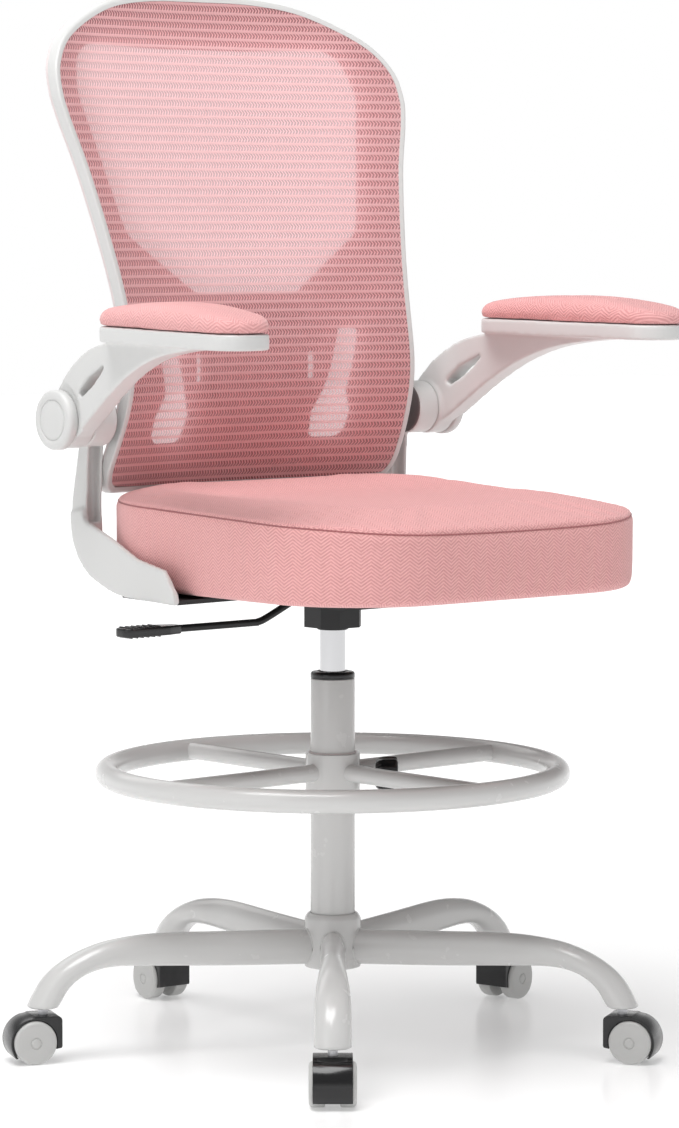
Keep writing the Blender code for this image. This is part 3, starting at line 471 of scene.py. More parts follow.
def make_materials():
    """Every look by name, most of them the record's slots."""
    white = (0.65, 0.650, 0.642)
    gloss_white = (0.64, 0.638, 0.630)
    steel_grey = (0.56, 0.56, 0.58)
    black = (0.012, 0.012, 0.013)
    coated = (0.022, 0.022, 0.023)
    # Dark reddish colour of the disc in the barrel's inner end: painted shade with a painted pink
    # reflection.
    dark = (0.12, 0.095, 0.095)
    return {
        "white_paint": moulded("gloss_white_paint", gloss_white, 0.26, 0.02, 260.0, 0.00004, coat=0.35),
        "white_plastic": moulded("satin_white_plastic", white, 0.36, 0.025, 1100.0, 0.00004),
        # White shell plastic with a painted pink cast of the light that comes through the pink mesh.
        "grey_plastic": moulded("shell_white_plastic_pink_cast", (0.74, 0.66, 0.66), 0.5, 0.05, 800.0, 0.0001),
        "wheel_grey": moulded("wheel_grey_plastic", (0.54, 0.54, 0.53), 0.38, 0.05, 700.0, 0.00008),
        "black_plastic": moulded("gloss_black_plastic", black, 0.17, 0.2, 500.0, 0.00004),
        "black_steel": moulded("black_powder_coat", coated, 0.42, 0.2, 1300.0, 0.00015, 0.3),
        # dark_plastic gives the barrel's inner end disc its painted shade.
        "dark_plastic": moulded("dark_plastic_and_painted_shade", dark, 0.45, 0.15, 900.0, 0.0001),
        "chrome": moulded("polished_chrome", (0.56, 0.56, 0.57), 0.14, 0.04, 400.0, 0.000004, 1.0),
        "steel": moulded("turned_steel", steel_grey, 0.32, 0.1, 700.0, 0.00004, 1.0),
        "pink_fabric": fabric("pink_twill", (0.87, 0.465, 0.46), (0.54, 0.215, 0.215)),
        "pink_piping": fabric("pink_piping_twill", (0.42, 0.15, 0.155), (0.30, 0.10, 0.10), 0.0022, 0.004),
        # pink_net's dark colour fills part of each hole: painted shade.
        "pink_mesh": net("pink_net", (0.94, 0.56, 0.57), (0.47, 0.15, 0.175)),
        "plywood": plywood("seat_plywood"),
    }


# ---------------------------------------------------------------- shape tools

def arc(centre, radius, start, end, steps):
    """Points of an arc, angles in degrees, both ends included."""
    angles = [math.radians(start + (end - start) * i / steps) for i in range(steps + 1)]
    return [(centre[0] + radius * math.cos(a), centre[1] + radius * math.sin(a)) for a in angles]


def rounded(corners, steps=8):
    """Outline through corners given as (u, v, radius), each rounded by an arc."""
    points = []
    for i, (u, v, radius) in enumerate(corners):
        corner = Vector((u, v))
        before = (Vector(corners[i - 1][:2]) - corner).normalized()
        after = (Vector(corners[(i + 1) % len(corners)][:2]) - corner).normalized()
        half = before.angle(after) / 2
        if radius <= 0.0 or half > math.radians(89):
            points.append((u, v))
            continue
        centre = corner + (before + after).normalized() * (radius / math.sin(half))
        first = corner + before * (radius / math.tan(half)) - centre
        last = corner + after * (radius / math.tan(half)) - centre
        sweep = first.angle_signed(last)
        for k in range(steps + 1):
            spoke = Matrix.Rotation(-sweep * k / steps, 2) @ first
            points.append(tuple(centre + spoke))
    return points


def spline(points, steps):
    """Catmull-Rom curve through points of any dimension."""
    ends = [points[0]] + list(points) + [points[-1]]
    samples = []
    for i in range(1, len(ends) - 2):
        p0, p1, p2, p3 = (np.array(ends[i + k], float) for k in (-1, 0, 1, 2))
        for k in range(steps):
            t = k / steps
            linear = (p2 - p0) * t
            square = (2 * p0 - 5 * p1 + 4 * p2 - p3) * t * t
            cube = (3 * p1 - p0 - 3 * p2 + p3) * t * t * t
            samples.append(tuple(p1 + (linear + square + cube) / 2))
    return samples + [tuple(points[-1])]


def even(points, count):
    """Closed outline redrawn with evenly spaced points."""
    loop = np.array(list(points) + [points[0]], float)
    steps = np.hypot(*np.diff(loop, axis=0).T)
    run = np.concatenate([[0.0], np.cumsum(steps)])
    at = np.linspace(0.0, run[-1], count, endpoint=False)
    return list(zip(np.interp(at, run, loop[:, 0]), np.interp(at, run, loop[:, 1])))


def turned(profile, sides=64):
    """Solid of revolution about Z from (radius, height) points."""
    shape = bmesh.new()
    verts = [shape.verts.new((radius, 0.0, height)) for radius, height in profile]
    edges = [shape.edges.new(pair) for pair in zip(verts, verts[1:])]
    if profile[0][0] > 0.0 and profile[-1][0] > 0.0:
        edges.append(shape.edges.new((verts[-1], verts[0])))
    bmesh.ops.spin(
        shape, geom=verts + edges, cent=(0, 0, 0), axis=(0, 0, 1),
        angle=math.tau, steps=sides, use_merge=True,
    )
    bmesh.ops.remove_doubles(shape, verts=shape.verts, dist=WELD)
    bmesh.ops.recalc_face_normals(shape, faces=shape.faces)
    return shape


def prism(outline, low, high, axis):
    """Extrude an outline along an axis: (y, z) along X, (x, z) along Y or (x, y) along Z."""
    points = {
        "X": lambda u, v, w: (w, u, v),
        "Y": lambda u, v, w: (u, w, v),
        "Z": lambda u, v, w: (u, v, w),
    }[axis]
    shape = bmesh.new()
    face = shape.faces.new([shape.verts.new(points(u, v, low)) for u, v in outline])
    top = bmesh.ops.extrude_face_region(shape, geom=[face], use_keep_orig=True)
    far = [item for item in top["geom"] if isinstance(item, bmesh.types.BMVert)]
    bmesh.ops.translate(shape, verts=far, vec=points(0.0, 0.0, high - low))
    bmesh.ops.recalc_face_normals(shape, faces=shape.faces)
    return shape


def box(low, high):
    """Box between two corners."""
    outline = [(low[0], low[1]), (high[0], low[1]), (high[0], high[1]), (low[0], high[1])]
    return prism(outline, low[2], high[2], "Z")


def cylinder(radius, low, high, sides=64):
    """Solid cylinder about Z."""
    return turned([(0.0, low), (radius, low), (radius, high), (0.0, high)], sides)


def moved(shape, matrix):
    """Move a shape by a matrix and return it."""
    bmesh.ops.transform(shape, verts=shape.verts, matrix=matrix)
    return shape


def along_x(shape, y=0.0, z=0.0):
    """Turn a shape's Z axis onto +X, through the point (y, z)."""
    return moved(shape, Matrix.Translation((0.0, y, z)) @ Matrix.Rotation(math.pi / 2, 4, "Y"))


def along_y(shape, x=0.0, z=0.0):
    """Turn a shape's Z axis onto +Y, through the point (x, z)."""
    return moved(shape, Matrix.Translation((x, 0.0, z)) @ Matrix.Rotation(-math.pi / 2, 4, "X"))


def loft(rings, closed=False):
    """Skin rings of equal length; the ends are capped unless the loft closes on itself."""
    shape = bmesh.new()
    loops = [[shape.verts.new(point) for point in ring] for ring in rings]
    pairs = list(zip(loops, loops[1:]))
    if closed:
        pairs.append((loops[-1], loops[0]))
    for first, second in pairs:
        for k in range(len(first)):
            n = (k + 1) % len(first)
            shape.faces.new((first[k], first[n], second[n], second[k]))
    if not closed:
        shape.faces.new(list(reversed(loops[0])))
        shape.faces.new(loops[-1])
    bmesh.ops.recalc_face_normals(shape, faces=shape.faces)
    return shape


def tube(path, radius, sides=16, closed=False):
    """Round tube along a path in space."""
    rings = []
    count = len(path)
    for i, point in enumerate(path):
        before = path[i - 1] if closed or i > 0 else path[0]
        after = path[(i + 1) % count] if closed or i < count - 1 else path[-1]
        run = (Vector(after) - Vector(before)).normalized()
        side = run.cross(Vector((0.0, 0.0, 1.0)))
        if side.length < 0.1:
            side = run.cross(Vector((0.0, 1.0, 0.0)))
        side.normalize()
        upward = side.cross(run)
        ring = []
        for k in range(sides):
            angle = math.tau * k / sides
            ring.append(Vector(point) + (side * math.cos(angle) + upward * math.sin(angle)) * radius)
        rings.append(ring)
    return loft(rings, closed)


def temporary(shape):
    """Put a shape into a temporary object of the scene; the shape is used up."""
    mesh = bpy.data.meshes.new("working")
    shape.to_mesh(mesh)
    shape.free()
    item = bpy.data.objects.new("working", mesh)
    bpy.context.scene.collection.objects.link(item)
    return item


def discard(item):
    """Remove an object and its mesh."""
    mesh = item.data
    bpy.data.objects.remove(item, do_unlink=True)
    bpy.data.meshes.remove(mesh)


def evaluated(item):
    """An object's mesh with its modifiers, as a shape."""
    bpy.context.view_layer.update()
    graph = bpy.context.evaluated_depsgraph_get()
    solved = item.evaluated_get(graph)
    result = bmesh.new()
    result.from_mesh(solved.to_mesh())
    solved.to_mesh_clear()
    return result


def combine(body, tool, operation):
    """Boolean of two shapes; both are used up."""
    first = temporary(body)
    second = temporary(tool)
    modifier = first.modifiers.new("boolean", "BOOLEAN")
    modifier.operation = operation
    modifier.solver = "EXACT"
    modifier.object = second
    result = evaluated(first)
    discard(first)
    discard(second)
    return result


def cut(body, *tools):
    """Cut each tool from a body."""
    for tool in tools:
        body = combine(body, tool, "DIFFERENCE")
    return body


def join(body, *others):
    """Join overlapping shapes into one."""
    for other in others:
        body = combine(body, other, "UNION")
    return body


def through(shape, setup):
    """Run a shape through modifiers that setup adds to a temporary object."""
    item = temporary(shape)
    setup(item)
    result = evaluated(item)
    discard(item)
    return result


def remeshed(item, voxel):
    """Add a voxel remesh."""
    remesh = item.modifiers.new("remesh", "REMESH")
    remesh.mode = "VOXEL"
    remesh.voxel_size = voxel


def softened(shape):
    """Remesh a shape finely and round its edges, as on a moulded part."""
    def setup(item):
        remeshed(item, MOULD_VOXEL)
        smooth = item.modifiers.new("smooth", "SMOOTH")
        smooth.factor = 0.5
        smooth.iterations = MOULD_ROUNDS
    return through(shape, setup)


def bevelled(shape, width):
    """Bevel a shape's sharp edges."""
    def setup(item):
        bevel = item.modifiers.new("bevel", "BEVEL")
        bevel.width = width
        bevel.segments = 3
        bevel.limit_method = "ANGLE"
        bevel.angle_limit = math.radians(32)
        bevel.use_clamp_overlap = True
    return through(shape, setup)


def mirrored(shape):
    """A copy on the other side of the x = 0 plane."""
    copy = shape.copy()
    bmesh.ops.scale(copy, vec=(-1.0, 1.0, 1.0), verts=copy.verts)
    bmesh.ops.reverse_faces(copy, faces=copy.faces)
    return copy


LOOKS = make_materials()


def piece(name, shape, look, body, nodes=(), sharp=40):
    """Turn a shape into a visible piece that rides on a body and stands for CAD nodes."""
    mesh = bpy.data.meshes.new(name)
    bmesh.ops.translate(shape, verts=shape.verts, vec=COLUMN)
    shape.to_mesh(mesh)
    shape.free()
    mesh.shade_smooth()
    mesh.set_sharp_from_angle(angle=math.radians(sharp))
    mesh.materials.append(LOOKS[look])
    item = bpy.data.objects.new(name, mesh)
    bpy.context.scene.collection.objects.link(item)
    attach(item, body)
    if nodes:
        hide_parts(*nodes)
    return item


# ---------------------------------------------------------------- base, casters, column, ring

def leg_shape():
    """Swan-neck leg along +X with a rounded lower end."""
    sections = spline(LEG_SECTIONS, 7)
    last = sections[-1]
    sections.append((last[0], last[1] - 0.0008, last[2], last[3] - 0.0004, last[4] - 0.0004))
    sections.append((last[0], last[1] - 0.0014, last[2], last[3] - 0.0015, last[4] - 0.0015))
    rings = []
    for reach, height, slope, half_width, half_height in sections:
        tilt = math.radians(slope)
        centre = Vector((reach, 0.0, height))
        upward = Vector((-math.sin(tilt), 0.0, math.cos(tilt)))
        ring = []
        for k in range(32):
            angle = math.tau * (k + 0.5) / 32
            across = Vector((0, math.cos(angle) * half_width, 0))
            ring.append(centre + across + upward * math.sin(angle) * half_height)
        rings.append(ring)
    return loft(rings)


def weld_bead(turn):
    """Thin bead of weld where a leg meets the hub."""
    path = []
    for k in range(40):
        angle = math.tau * k / 40
        y = math.cos(angle) * 0.0137
        path.append((math.sqrt(HUB_RADIUS ** 2 - y * y), y, 0.1092 + math.sin(angle) * 0.0197))
    return moved(tube(path, 0.0011, 8, True), turn)


def hood_shape():
    """Caster body: web, shroud over the wheels and a socket for the stem."""
    axle = (WHEEL_TRAIL, WHEEL_RADIUS)
    outline = arc(axle, HOOD_RADIUS, -38, 72, 28)
    outline += arc((0.0125, HOOD_TOP - 0.0040), 0.0040, 50, 90, 4)
    outline += arc((HOOD_BACK + 0.0050, HOOD_TOP - 0.0050), 0.0050, 90, 180, 8)
    outline += [(HOOD_BACK, 0.0190), (HOOD_BACK + 0.0008, 0.0170)]
    hood = prism(outline, -HOOD_HALF_WIDTH, HOOD_HALF_WIDTH, "Y")
    room = WHEEL_RADIUS + 0.0009
    near = along_y(cylinder(room, WEB_HALF_WIDTH, 0.03), *axle)
    far = along_y(cylinder(room, -0.03, -WEB_HALF_WIDTH), *axle)
    return bevelled(cut(hood, near, far), 0.0008)


def wheel_shape():
    """Wheel with a rounded tread, a dished disc and a centre button."""
    rim = WHEEL_RADIUS
    outer = WHEEL_OUTER
    profile = [(0.0, outer - 0.0003), (0.0035, outer - 0.0003), (0.0050, outer - 0.0008)]
    profile += [(0.0054, outer - 0.0014), (0.0062, outer - 0.0014), (0.0066, outer - 0.0006)]
    profile += [(0.0160, outer - 0.0003)]
    profile += [(0.0185, outer - 0.0004), (0.0200, outer - 0.0007)]
    profile += arc((rim - 0.0042, outer - 0.0048), 0.0042, 75, 0, 6)
    profile += [(rim, WHEEL_INNER + 0.002), (rim - 0.0008, WHEEL_INNER + 0.0004)]
    profile += [(rim - 0.002, WHEEL_INNER)]
    profile += [(0.0040, WHEEL_INNER), (0.0040, 0.0190), (0.0, 0.0190)]
    return along_y(turned(profile, 72))


def make_base():
    """Hub, legs and casters."""
    hub = turned([
        (TUBE_RADIUS + 0.0003, HUB_BOTTOM), (HUB_RADIUS - 0.0016, HUB_BOTTOM),
        (HUB_RADIUS - 0.0004, HUB_BOTTOM + 0.0004), (HUB_RADIUS, HUB_BOTTOM + 0.0016),
        (HUB_RADIUS, HUB_TOP - 0.0065), (HUB_RADIUS - 0.0010, HUB_TOP - 0.0040),
        (HUB_RADIUS - 0.0030, HUB_TOP - 0.0012), (HUB_RADIUS - 0.0046, HUB_TOP),
        (TUBE_RADIUS + 0.0003, HUB_TOP),
    ], 96)
    piece("hub", hub, "white_paint", "base", ["base_hub"], 60)
    for k in range(LEG_COUNT):
        number = k + 1
        turn = Matrix.Rotation(FIRST_LEG_ANGLE + math.tau * k / LEG_COUNT, 4, "Z")
        piece(f"leg_{number}", moved(leg_shape(), turn), "white_paint", "base", [f"base_leg_{number}"], 60)
        piece(f"weld_{number}", weld_bead(turn), "white_paint", "base")
        swivel = turn @ Matrix.Translation((STEM_REACH, 0.0, 0.0))
        hood = moved(hood_shape(), swivel)
        piece(f"hood_{number}", hood, "black_plastic", f"caster_{number}", [f"caster_hood_{number}"])
        axle = swivel @ Matrix.Translation((WHEEL_TRAIL, 0.0, WHEEL_RADIUS))
        for letter, half_turn in (("a", 0.0), ("b", math.pi)):
            name = f"wheel_{number}{letter}"
            wheel = moved(wheel_shape(), axle @ Matrix.Rotation(half_turn, 4, "Z"))
            piece(name, wheel, "wheel_grey", name, [f"caster_{name}"])


def make_column():
    """Column tube, its collar and the chrome cylinder."""
    bore = TUBE_RADIUS - TUBE_WALL
    column = turned([
        (0.0045, TUBE_BOTTOM), (TUBE_RADIUS - 0.001, TUBE_BOTTOM), (TUBE_RADIUS, TUBE_BOTTOM + 0.001),
        (TUBE_RADIUS, TUBE_TOP - 0.0012), (TUBE_RADIUS - 0.0004, TUBE_TOP - 0.0003),
        (TUBE_RADIUS - 0.0010, TUBE_TOP), (bore, TUBE_TOP), (bore, TUBE_BOTTOM + 0.004),
        (0.0045, TUBE_BOTTOM + 0.004),
    ], 96)
    piece("column", column, "white_paint", "base", ["column_tube"], 50)
    guide = CYLINDER_RADIUS + 0.0004
    collar = turned([
        (guide, BUSH_BOTTOM), (bore - 0.0003, BUSH_BOTTOM), (bore - 0.0003, TUBE_TOP + 0.0003),
        (TUBE_RADIUS - 0.0004, TUBE_TOP + 0.0003), (TUBE_RADIUS, TUBE_TOP + 0.0008),
        (TUBE_RADIUS, COLLAR_TOP - 0.0030), (TUBE_RADIUS - 0.0008, COLLAR_TOP - 0.0012),
        (TUBE_RADIUS - 0.0024, COLLAR_TOP - 0.0004), (TUBE_RADIUS - 0.0060, COLLAR_TOP),
        (guide + 0.0030, COLLAR_TOP), (guide + 0.0010, COLLAR_TOP - 0.0012),
        (guide, COLLAR_TOP - 0.0030),
    ], 96)
    piece("collar", collar, "black_plastic", "base", ["column_bush"], 50)
    low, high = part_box("gas_cylinder")
    rod = turned([
        (0.0060, low.z), (CYLINDER_RADIUS - 0.0008, low.z), (CYLINDER_RADIUS, low.z + 0.0008),
        (CYLINDER_RADIUS, high.z - 0.0008), (CYLINDER_RADIUS - 0.0008, high.z), (0.0060, high.z),
    ], 96)
    piece("cylinder", rod, "chrome", "upper", ["gas_cylinder"], 30)


def ring_shape():
    """Foot ring: round tube, four spokes, a hub and the boss of the clamp."""
    root = (RING_HUB_BORE + RING_HUB_RADIUS) / 2 - 0.0005
    hub = turned([
        (RING_HUB_BORE, RING_HUB_BOTTOM), (RING_HUB_RADIUS - 0.001, RING_HUB_BOTTOM),
        (RING_HUB_RADIUS, RING_HUB_BOTTOM + 0.001), (RING_HUB_RADIUS, RING_HUB_TOP - 0.001),
        (RING_HUB_RADIUS - 0.001, RING_HUB_TOP), (RING_HUB_BORE, RING_HUB_TOP),
    ], 96)
    toward_clamp = Matrix.Rotation(CLAMP_ANGLE, 4, "Z")
    boss = turned([(0.0, root), (0.0095, root), (0.0072, 0.0442), (0.0064, 0.0450), (0.0, 0.0450)], 32)
    ring = join(hub, moved(along_x(boss, 0.0, CLAMP_HEIGHT), toward_clamp))
    for k in range(4):
        spoke = along_x(cylinder(SPOKE_TUBE, root, RING_RADIUS + 0.003, 28), 0.0, RING_HEIGHT)
        ring = join(ring, moved(spoke, Matrix.Rotation(SPOKE_ANGLE + math.tau * k / 4, 4, "Z")))
    angles = [math.tau * (k + 0.5) / 28 for k in range(28)]
    section = []
    for angle in angles:
        height = RING_HEIGHT + RING_TUBE * math.sin(angle)
        section.append((RING_RADIUS + RING_TUBE * math.cos(angle), height))
    return join(ring, turned(section, 160))


def knob_shape():
    """Clamp knob with a fluted grip and its screw."""
    knob = turned([
        (0.0, 0.0268), (0.0038, 0.0268), (0.0038, 0.0470), (0.0140, 0.0470), (0.0158, 0.0480),
        (0.0178, 0.0510), (0.0188, 0.0560), (0.0190, 0.0680), (0.0184, 0.0700), (0.0168, 0.0715),
        (0.0120, 0.0720), (0.0, 0.0720),
    ], 96)
    for vert in knob.verts:
        reach = math.hypot(vert.co.x, vert.co.y)
        if reach > 0.015:
            angle = math.atan2(vert.co.y, vert.co.x)
            dip = 0.0011 * (0.5 - 0.5 * math.cos(12 * angle))
            vert.co.x *= 1.0 - dip / reach
            vert.co.y *= 1.0 - dip / reach
    return moved(along_x(knob, 0.0, CLAMP_HEIGHT), Matrix.Rotation(CLAMP_ANGLE, 4, "Z"))


def make_ring():
    """Foot ring and its clamp knob."""
    piece("ring", ring_shape(), "white_paint", "foot_ring", ["foot_ring"], 42)
    piece("knob", knob_shape(), "black_plastic", "clamp_knob", ["ring_clamp_knob"], 45)


# ---------------------------------------------------------------- lever

def make_lever():
    """Bent rod and ribbed paddle."""
    pivot = LEVER_PIVOT_HEIGHT
    corners = [
        (0.0040, 0.0, pivot), (-0.0300, 0.0, pivot), (-0.0430, 0.0, pivot - 0.0006),
        (-0.0560, 0.0, pivot - 0.0052), (-0.0910, 0.0, LEVER_LOW + 0.0052),
        (-0.1050, 0.0, LEVER_LOW + 0.0006), (-0.1200, 0.0, LEVER_LOW), (-0.2385, 0.0, LEVER_LOW),
    ]
    rod = tube(spline(corners, 8), LEVER_ROD, 20)
    piece("lever_rod", rod, "black_steel", "lever", ["height_lever_rod"])
    outline = rounded([
        (-0.216, -0.008, 0.003), (-0.216, 0.008, 0.003), (-0.236, 0.0135, 0.006),
        (-0.293, 0.0135, 0.010), (-0.293, -0.0135, 0.010), (-0.236, -0.0135, 0.006),
    ])
    paddle = bevelled(prism(outline, LEVER_LOW - 0.0048, LEVER_LOW + 0.0048, "Z"), 0.0018)
    for k in range(6):
        x = -0.2850 + 0.0075 * k
        for side in (-1, 1):
            z = LEVER_LOW + side * 0.0050
            paddle = join(paddle, tube([(x, -0.0105, z), (x, 0.0105, z)], 0.0011, 10))
    piece("lever_paddle", paddle, "black_plastic", "lever", ["height_lever_handle"])


# ---------------------------------------------------------------- seat

def seat_ring(inset):
    """Seat outline in plan; beyond the corner's radius it shrinks toward the middle."""
    drawn = min(inset, 0.095)
    side = SEAT_HALF_WIDTH - drawn
    front = SEAT_FRONT + drawn
    back = SEAT_BACK - drawn
    radius = SEAT_CORNER - drawn * 0.9
    corners = [(side, front, radius), (side, back, radius), (-side, back, radius), (-side, front, radius)]
    ring = even(rounded(corners, 16), SEAT_POINTS)
    share = (side - (inset - drawn)) / side
    middle_y = (front + back) / 2
    return [(x * share, middle_y + (y - middle_y) * share) for x, y in ring]


def ease(value):
    """Smooth step of a value held between 0 and 1."""
    held = min(max(value, 0.0), 1.0)
    return held * held * (3 - 2 * held)


def front_share(y):
    """0 over the rear of the seat, 1 at its front edge."""
    return min(max((0.15 - y) / 0.455, 0.0), 1.0)


def seam_height(x, y):
    """Height of the seam around the seat: falls toward the front and dips in the front's middle."""
    dip = SEAM_DIP * ease((-0.20 - y) / 0.10) * (1.0 - (x / SEAT_HALF_WIDTH) ** 2)
    return SEAM_SIDE + (SEAM_FRONT - SEAM_SIDE) * front_share(y) - dip


def crest_height(y):
    """Height of the bolster's crest, lower towards the front."""
    return SEAT_TOP - 0.0010 - CREST_DROP * front_share(y)


def dish_depth(y):
    """How far the middle lies below the crest: deep at the rear, almost nothing at the front."""
    return DISH_REAR + (DISH_FRONT - DISH_REAR) * ease(front_share(y) * 1.25)


def seat_rings(steps, low, high):
    """Rings of the cushion from (inset, share): share 0 lies at height low(x, y), share 1 at high(x, y)."""
    rings = []
    for inset, share in steps:
        ring = []
        for x, y in seat_ring(inset):
            ring.append((x, y, low(x, y) + (high(x, y) - low(x, y)) * share))
        rings.append(ring)
    return rings


def seat_shape():
    """Cushion before it is swollen: soft sides, a bolster along the rear and sides, a dished middle."""
    bottom = [(0.200, 0.0), (0.120, 0.0), (0.060, 0.0), (0.046, -0.0008), (0.040, -0.0030), (0.030, -0.0038)]
    rings = [[(x, y, SEAT_BOTTOM + rise) for x, y in seat_ring(inset)] for inset, rise in bottom]
    sides = [
        (0.0150, 0.00), (0.0075, 0.03), (0.0042, 0.10), (0.0034, 0.42), (0.0034, 0.62), (0.0034, 0.82),
        (0.0030, 1.00),
    ]
    shoulder = [(0.0050, 0.30), (0.0100, 0.62), (0.0170, 0.86), (0.0260, 0.98), (0.0360, 1.0)]
    dish = [
        (0.0500, 0.10), (0.0650, 0.32), (0.0850, 0.62), (0.1100, 0.85), (0.1400, 0.96), (0.1800, 1.0),
        (0.2200, 1.0),
    ]
    rings += seat_rings(sides, lambda x, y: SEAT_RIM, seam_height)
    rings += seat_rings(shoulder, seam_height, lambda x, y: crest_height(y))
    rings += seat_rings(dish, lambda x, y: crest_height(y), lambda x, y: crest_height(y) - dish_depth(y))
    return loft(rings)


def smoothed(shape):
    """Even out a shape's points once."""
    axes = {"use_axis_x": True, "use_axis_y": True, "use_axis_z": True}
    bmesh.ops.smooth_vert(shape, verts=shape.verts, factor=0.5, **axes)
    return shape


def swollen(shape, voxel, cap, is_held):
    """Remesh a closed form, swell it by cloth pressure, and hold each point within cap."""
    start = smoothed(through(shape, lambda item: remeshed(item, voxel)))
    rest = np.array([vert.co for vert in start.verts])
    item = temporary(start)
    group = item.vertex_groups.new(name="held")
    group.add([i for i, point in enumerate(rest) if is_held(point)], 1.0, "REPLACE")
    cloth = item.modifiers.new("cloth", "CLOTH")
    cloth.settings.use_pressure = True
    cloth.settings.uniform_pressure_force = CLOTH_PRESSURE
    cloth.settings.effector_weights.gravity = 0.0
    cloth.settings.vertex_group_mass = "held"
    cloth.settings.quality = 5
    cloth.point_cache.frame_start = 1
    cloth.point_cache.frame_end = CLOTH_FRAMES
    scene = bpy.context.scene
    for step in range(1, CLOTH_FRAMES + 1):
        scene.frame_set(step)
    solved = evaluated(item)
    for k, vert in enumerate(solved.verts):
        shift = Vector(vert.co) - Vector(rest[k])
        if shift.length > cap:
            vert.co = Vector(rest[k]) + shift.normalized() * cap
    scene.frame_set(1)
    discard(item)
    return smoothed(solved)


def finer(shape):
    """One level of subdivision."""
    def setup(item):
        subdivision = item.modifiers.new("subdivision", "SUBSURF")
        subdivision.levels = 1
        subdivision.render_levels = 1
    return through(shape, setup)


def grooved(shape, height_at, depth, width):
    """Press a narrow groove into the sides along a seam's height."""
    shape.normal_update()
    for vert in shape.verts:
        normal = vert.normal
        flat = math.hypot(normal.x, normal.y)
        if flat < 0.3:
            continue
        away = (vert.co.z - height_at(vert.co.x, vert.co.y)) / width
        press = depth * math.exp(-away * away) * min(1.0, flat * 1.5)
        vert.co -= Vector((normal.x, normal.y, 0.0)) * press
    return shape


def seam_path(shape, height_at, centre, count, sink):
    """Points around a shape's side at the seam's height, sunk by a little."""
    tree = BVHTree.FromBMesh(shape)
    path = []
    for k in range(count):
        angle = math.tau * k / count
        way = Vector((math.cos(angle), math.sin(angle), 0.0))
        reach = 0.34
        x = centre[0] + way.x * 0.2
        y = centre[1] + way.y * 0.2
        for _ in range(3):
            start = Vector((centre[0], centre[1], height_at(x, y))) + way * 0.6
            hit = tree.ray_cast(start, -way, 0.6)[0]
            if hit is None:
                break
            reach = (hit - Vector((centre[0], centre[1], hit.z))).length
            x, y = hit.x, hit.y
        path.append(Vector((centre[0], centre[1], height_at(x, y))) + way * (reach - sink))
    return path


def make_seat():
    """Seat cushion with its piping."""
    def is_held(point):
        near_seam = abs(point[2] - seam_height(point[0], point[1])) < 0.0035
        outer = max(abs(point[0]) - 0.16, abs(point[1] + 0.07) - 0.15) > 0.0
        return (near_seam and outer) or point[2] < SEAT_BOTTOM + 0.0025
    shape = finer(swollen(seat_shape(), 0.005, 0.0055, is_held))
    shape = grooved(shape, seam_height, 0.0014, 0.0030)
    path = seam_path(shape, seam_height, (0.0, -0.07), 300, 0.0001)
    cushion = piece("cushion", shape, "pink_fabric", "upper", ["seat_cushion"], 80)
    piece("cushion_piping", tube(path, 0.0010, 8, True), "pink_piping", "upper")


# ---------------------------------------------------------------- back

def back_surface(x, z):
    """Depth y of the mesh: a lumbar ridge with the back leaning away above it, hollow across."""
    rise = z - BACK_RIDGE
    ridge = 0.0949 - 0.13 * rise + 0.46 * math.hypot(rise, 0.060)
    return ridge - BACK_HOLLOW * x * x


def back_outline(steps):
    """Closed outline of the mesh in (x, z), clockwise from the middle of the top."""
    half = spline(BACK_HALF_OUTLINE, steps)
    return half[:-1] + [(-x, z) for x, z in reversed(half)][:-1]


def offset_outline(outline, distance):
    """Move a clockwise outline outward."""
    result = []
    count = len(outline)
    for i, (x, z) in enumerate(outline):
        run = Vector(outline[(i + 1) % count]) - Vector(outline[i - 1])
        run.normalize()
        result.append((x - run[1] * distance, z + run[0] * distance))
    return result


def net_shape():
    """Mesh sheet with raised ribs, one row of points to each quarter of a rib."""
    half = spline(BACK_HALF_OUTLINE, 12)
    heights = np.array([z for _, z in half])[::-1]
    widths = np.array([x for x, _ in half])[::-1]
    low = BACK_HALF_OUTLINE[-1][1]
    high = BACK_HALF_OUTLINE[0][1]
    quarter = RIB_PITCH / 4
    levels = list(np.arange(low, high - quarter / 2, quarter)) + [high - 0.0002]
    columns = 120
    shape = bmesh.new()
    rows = []
    for k, z in enumerate(levels):
        width = float(np.interp(z, heights, widths)) + 0.0012
        if k == 0:
            width = 0.168
        lift = RIB_RELIEF * (0.5 - 0.5 * math.cos(math.tau * (z - low) / RIB_PITCH))
        row = []
        for i in range(columns + 1):
            x = width * (2 * i / columns - 1)
            row.append(shape.verts.new((x, back_surface(x, z) - lift, z)))
        rows.append(row)
    for lower, upper in zip(rows, rows[1:]):
        for i in range(columns):
            shape.faces.new((lower[i], lower[i + 1], upper[i + 1], upper[i]))
    return shape


def frame_ring():
    """Rim around the mesh, with its edges rounded."""
    section = rounded([
        (0.0003, -0.0010, 0.0), (FRAME_LIP, -0.0010, 0.0028), (FRAME_LIP, FRAME_DEPTH, 0.0012),
        (0.0003, FRAME_DEPTH, 0.0),
    ], 6)
    outline = back_outline(14)
    loops = [offset_outline(outline, outward) for outward, depth in section]
    rings = []
    for i in range(len(outline)):
        ring = []
        for loop, (_, depth) in zip(loops, section):
            x, z = loop[i]
            ring.append((x, back_surface(x, z) + depth, z))
        rings.append(ring)
    return loft(rings, closed=True)


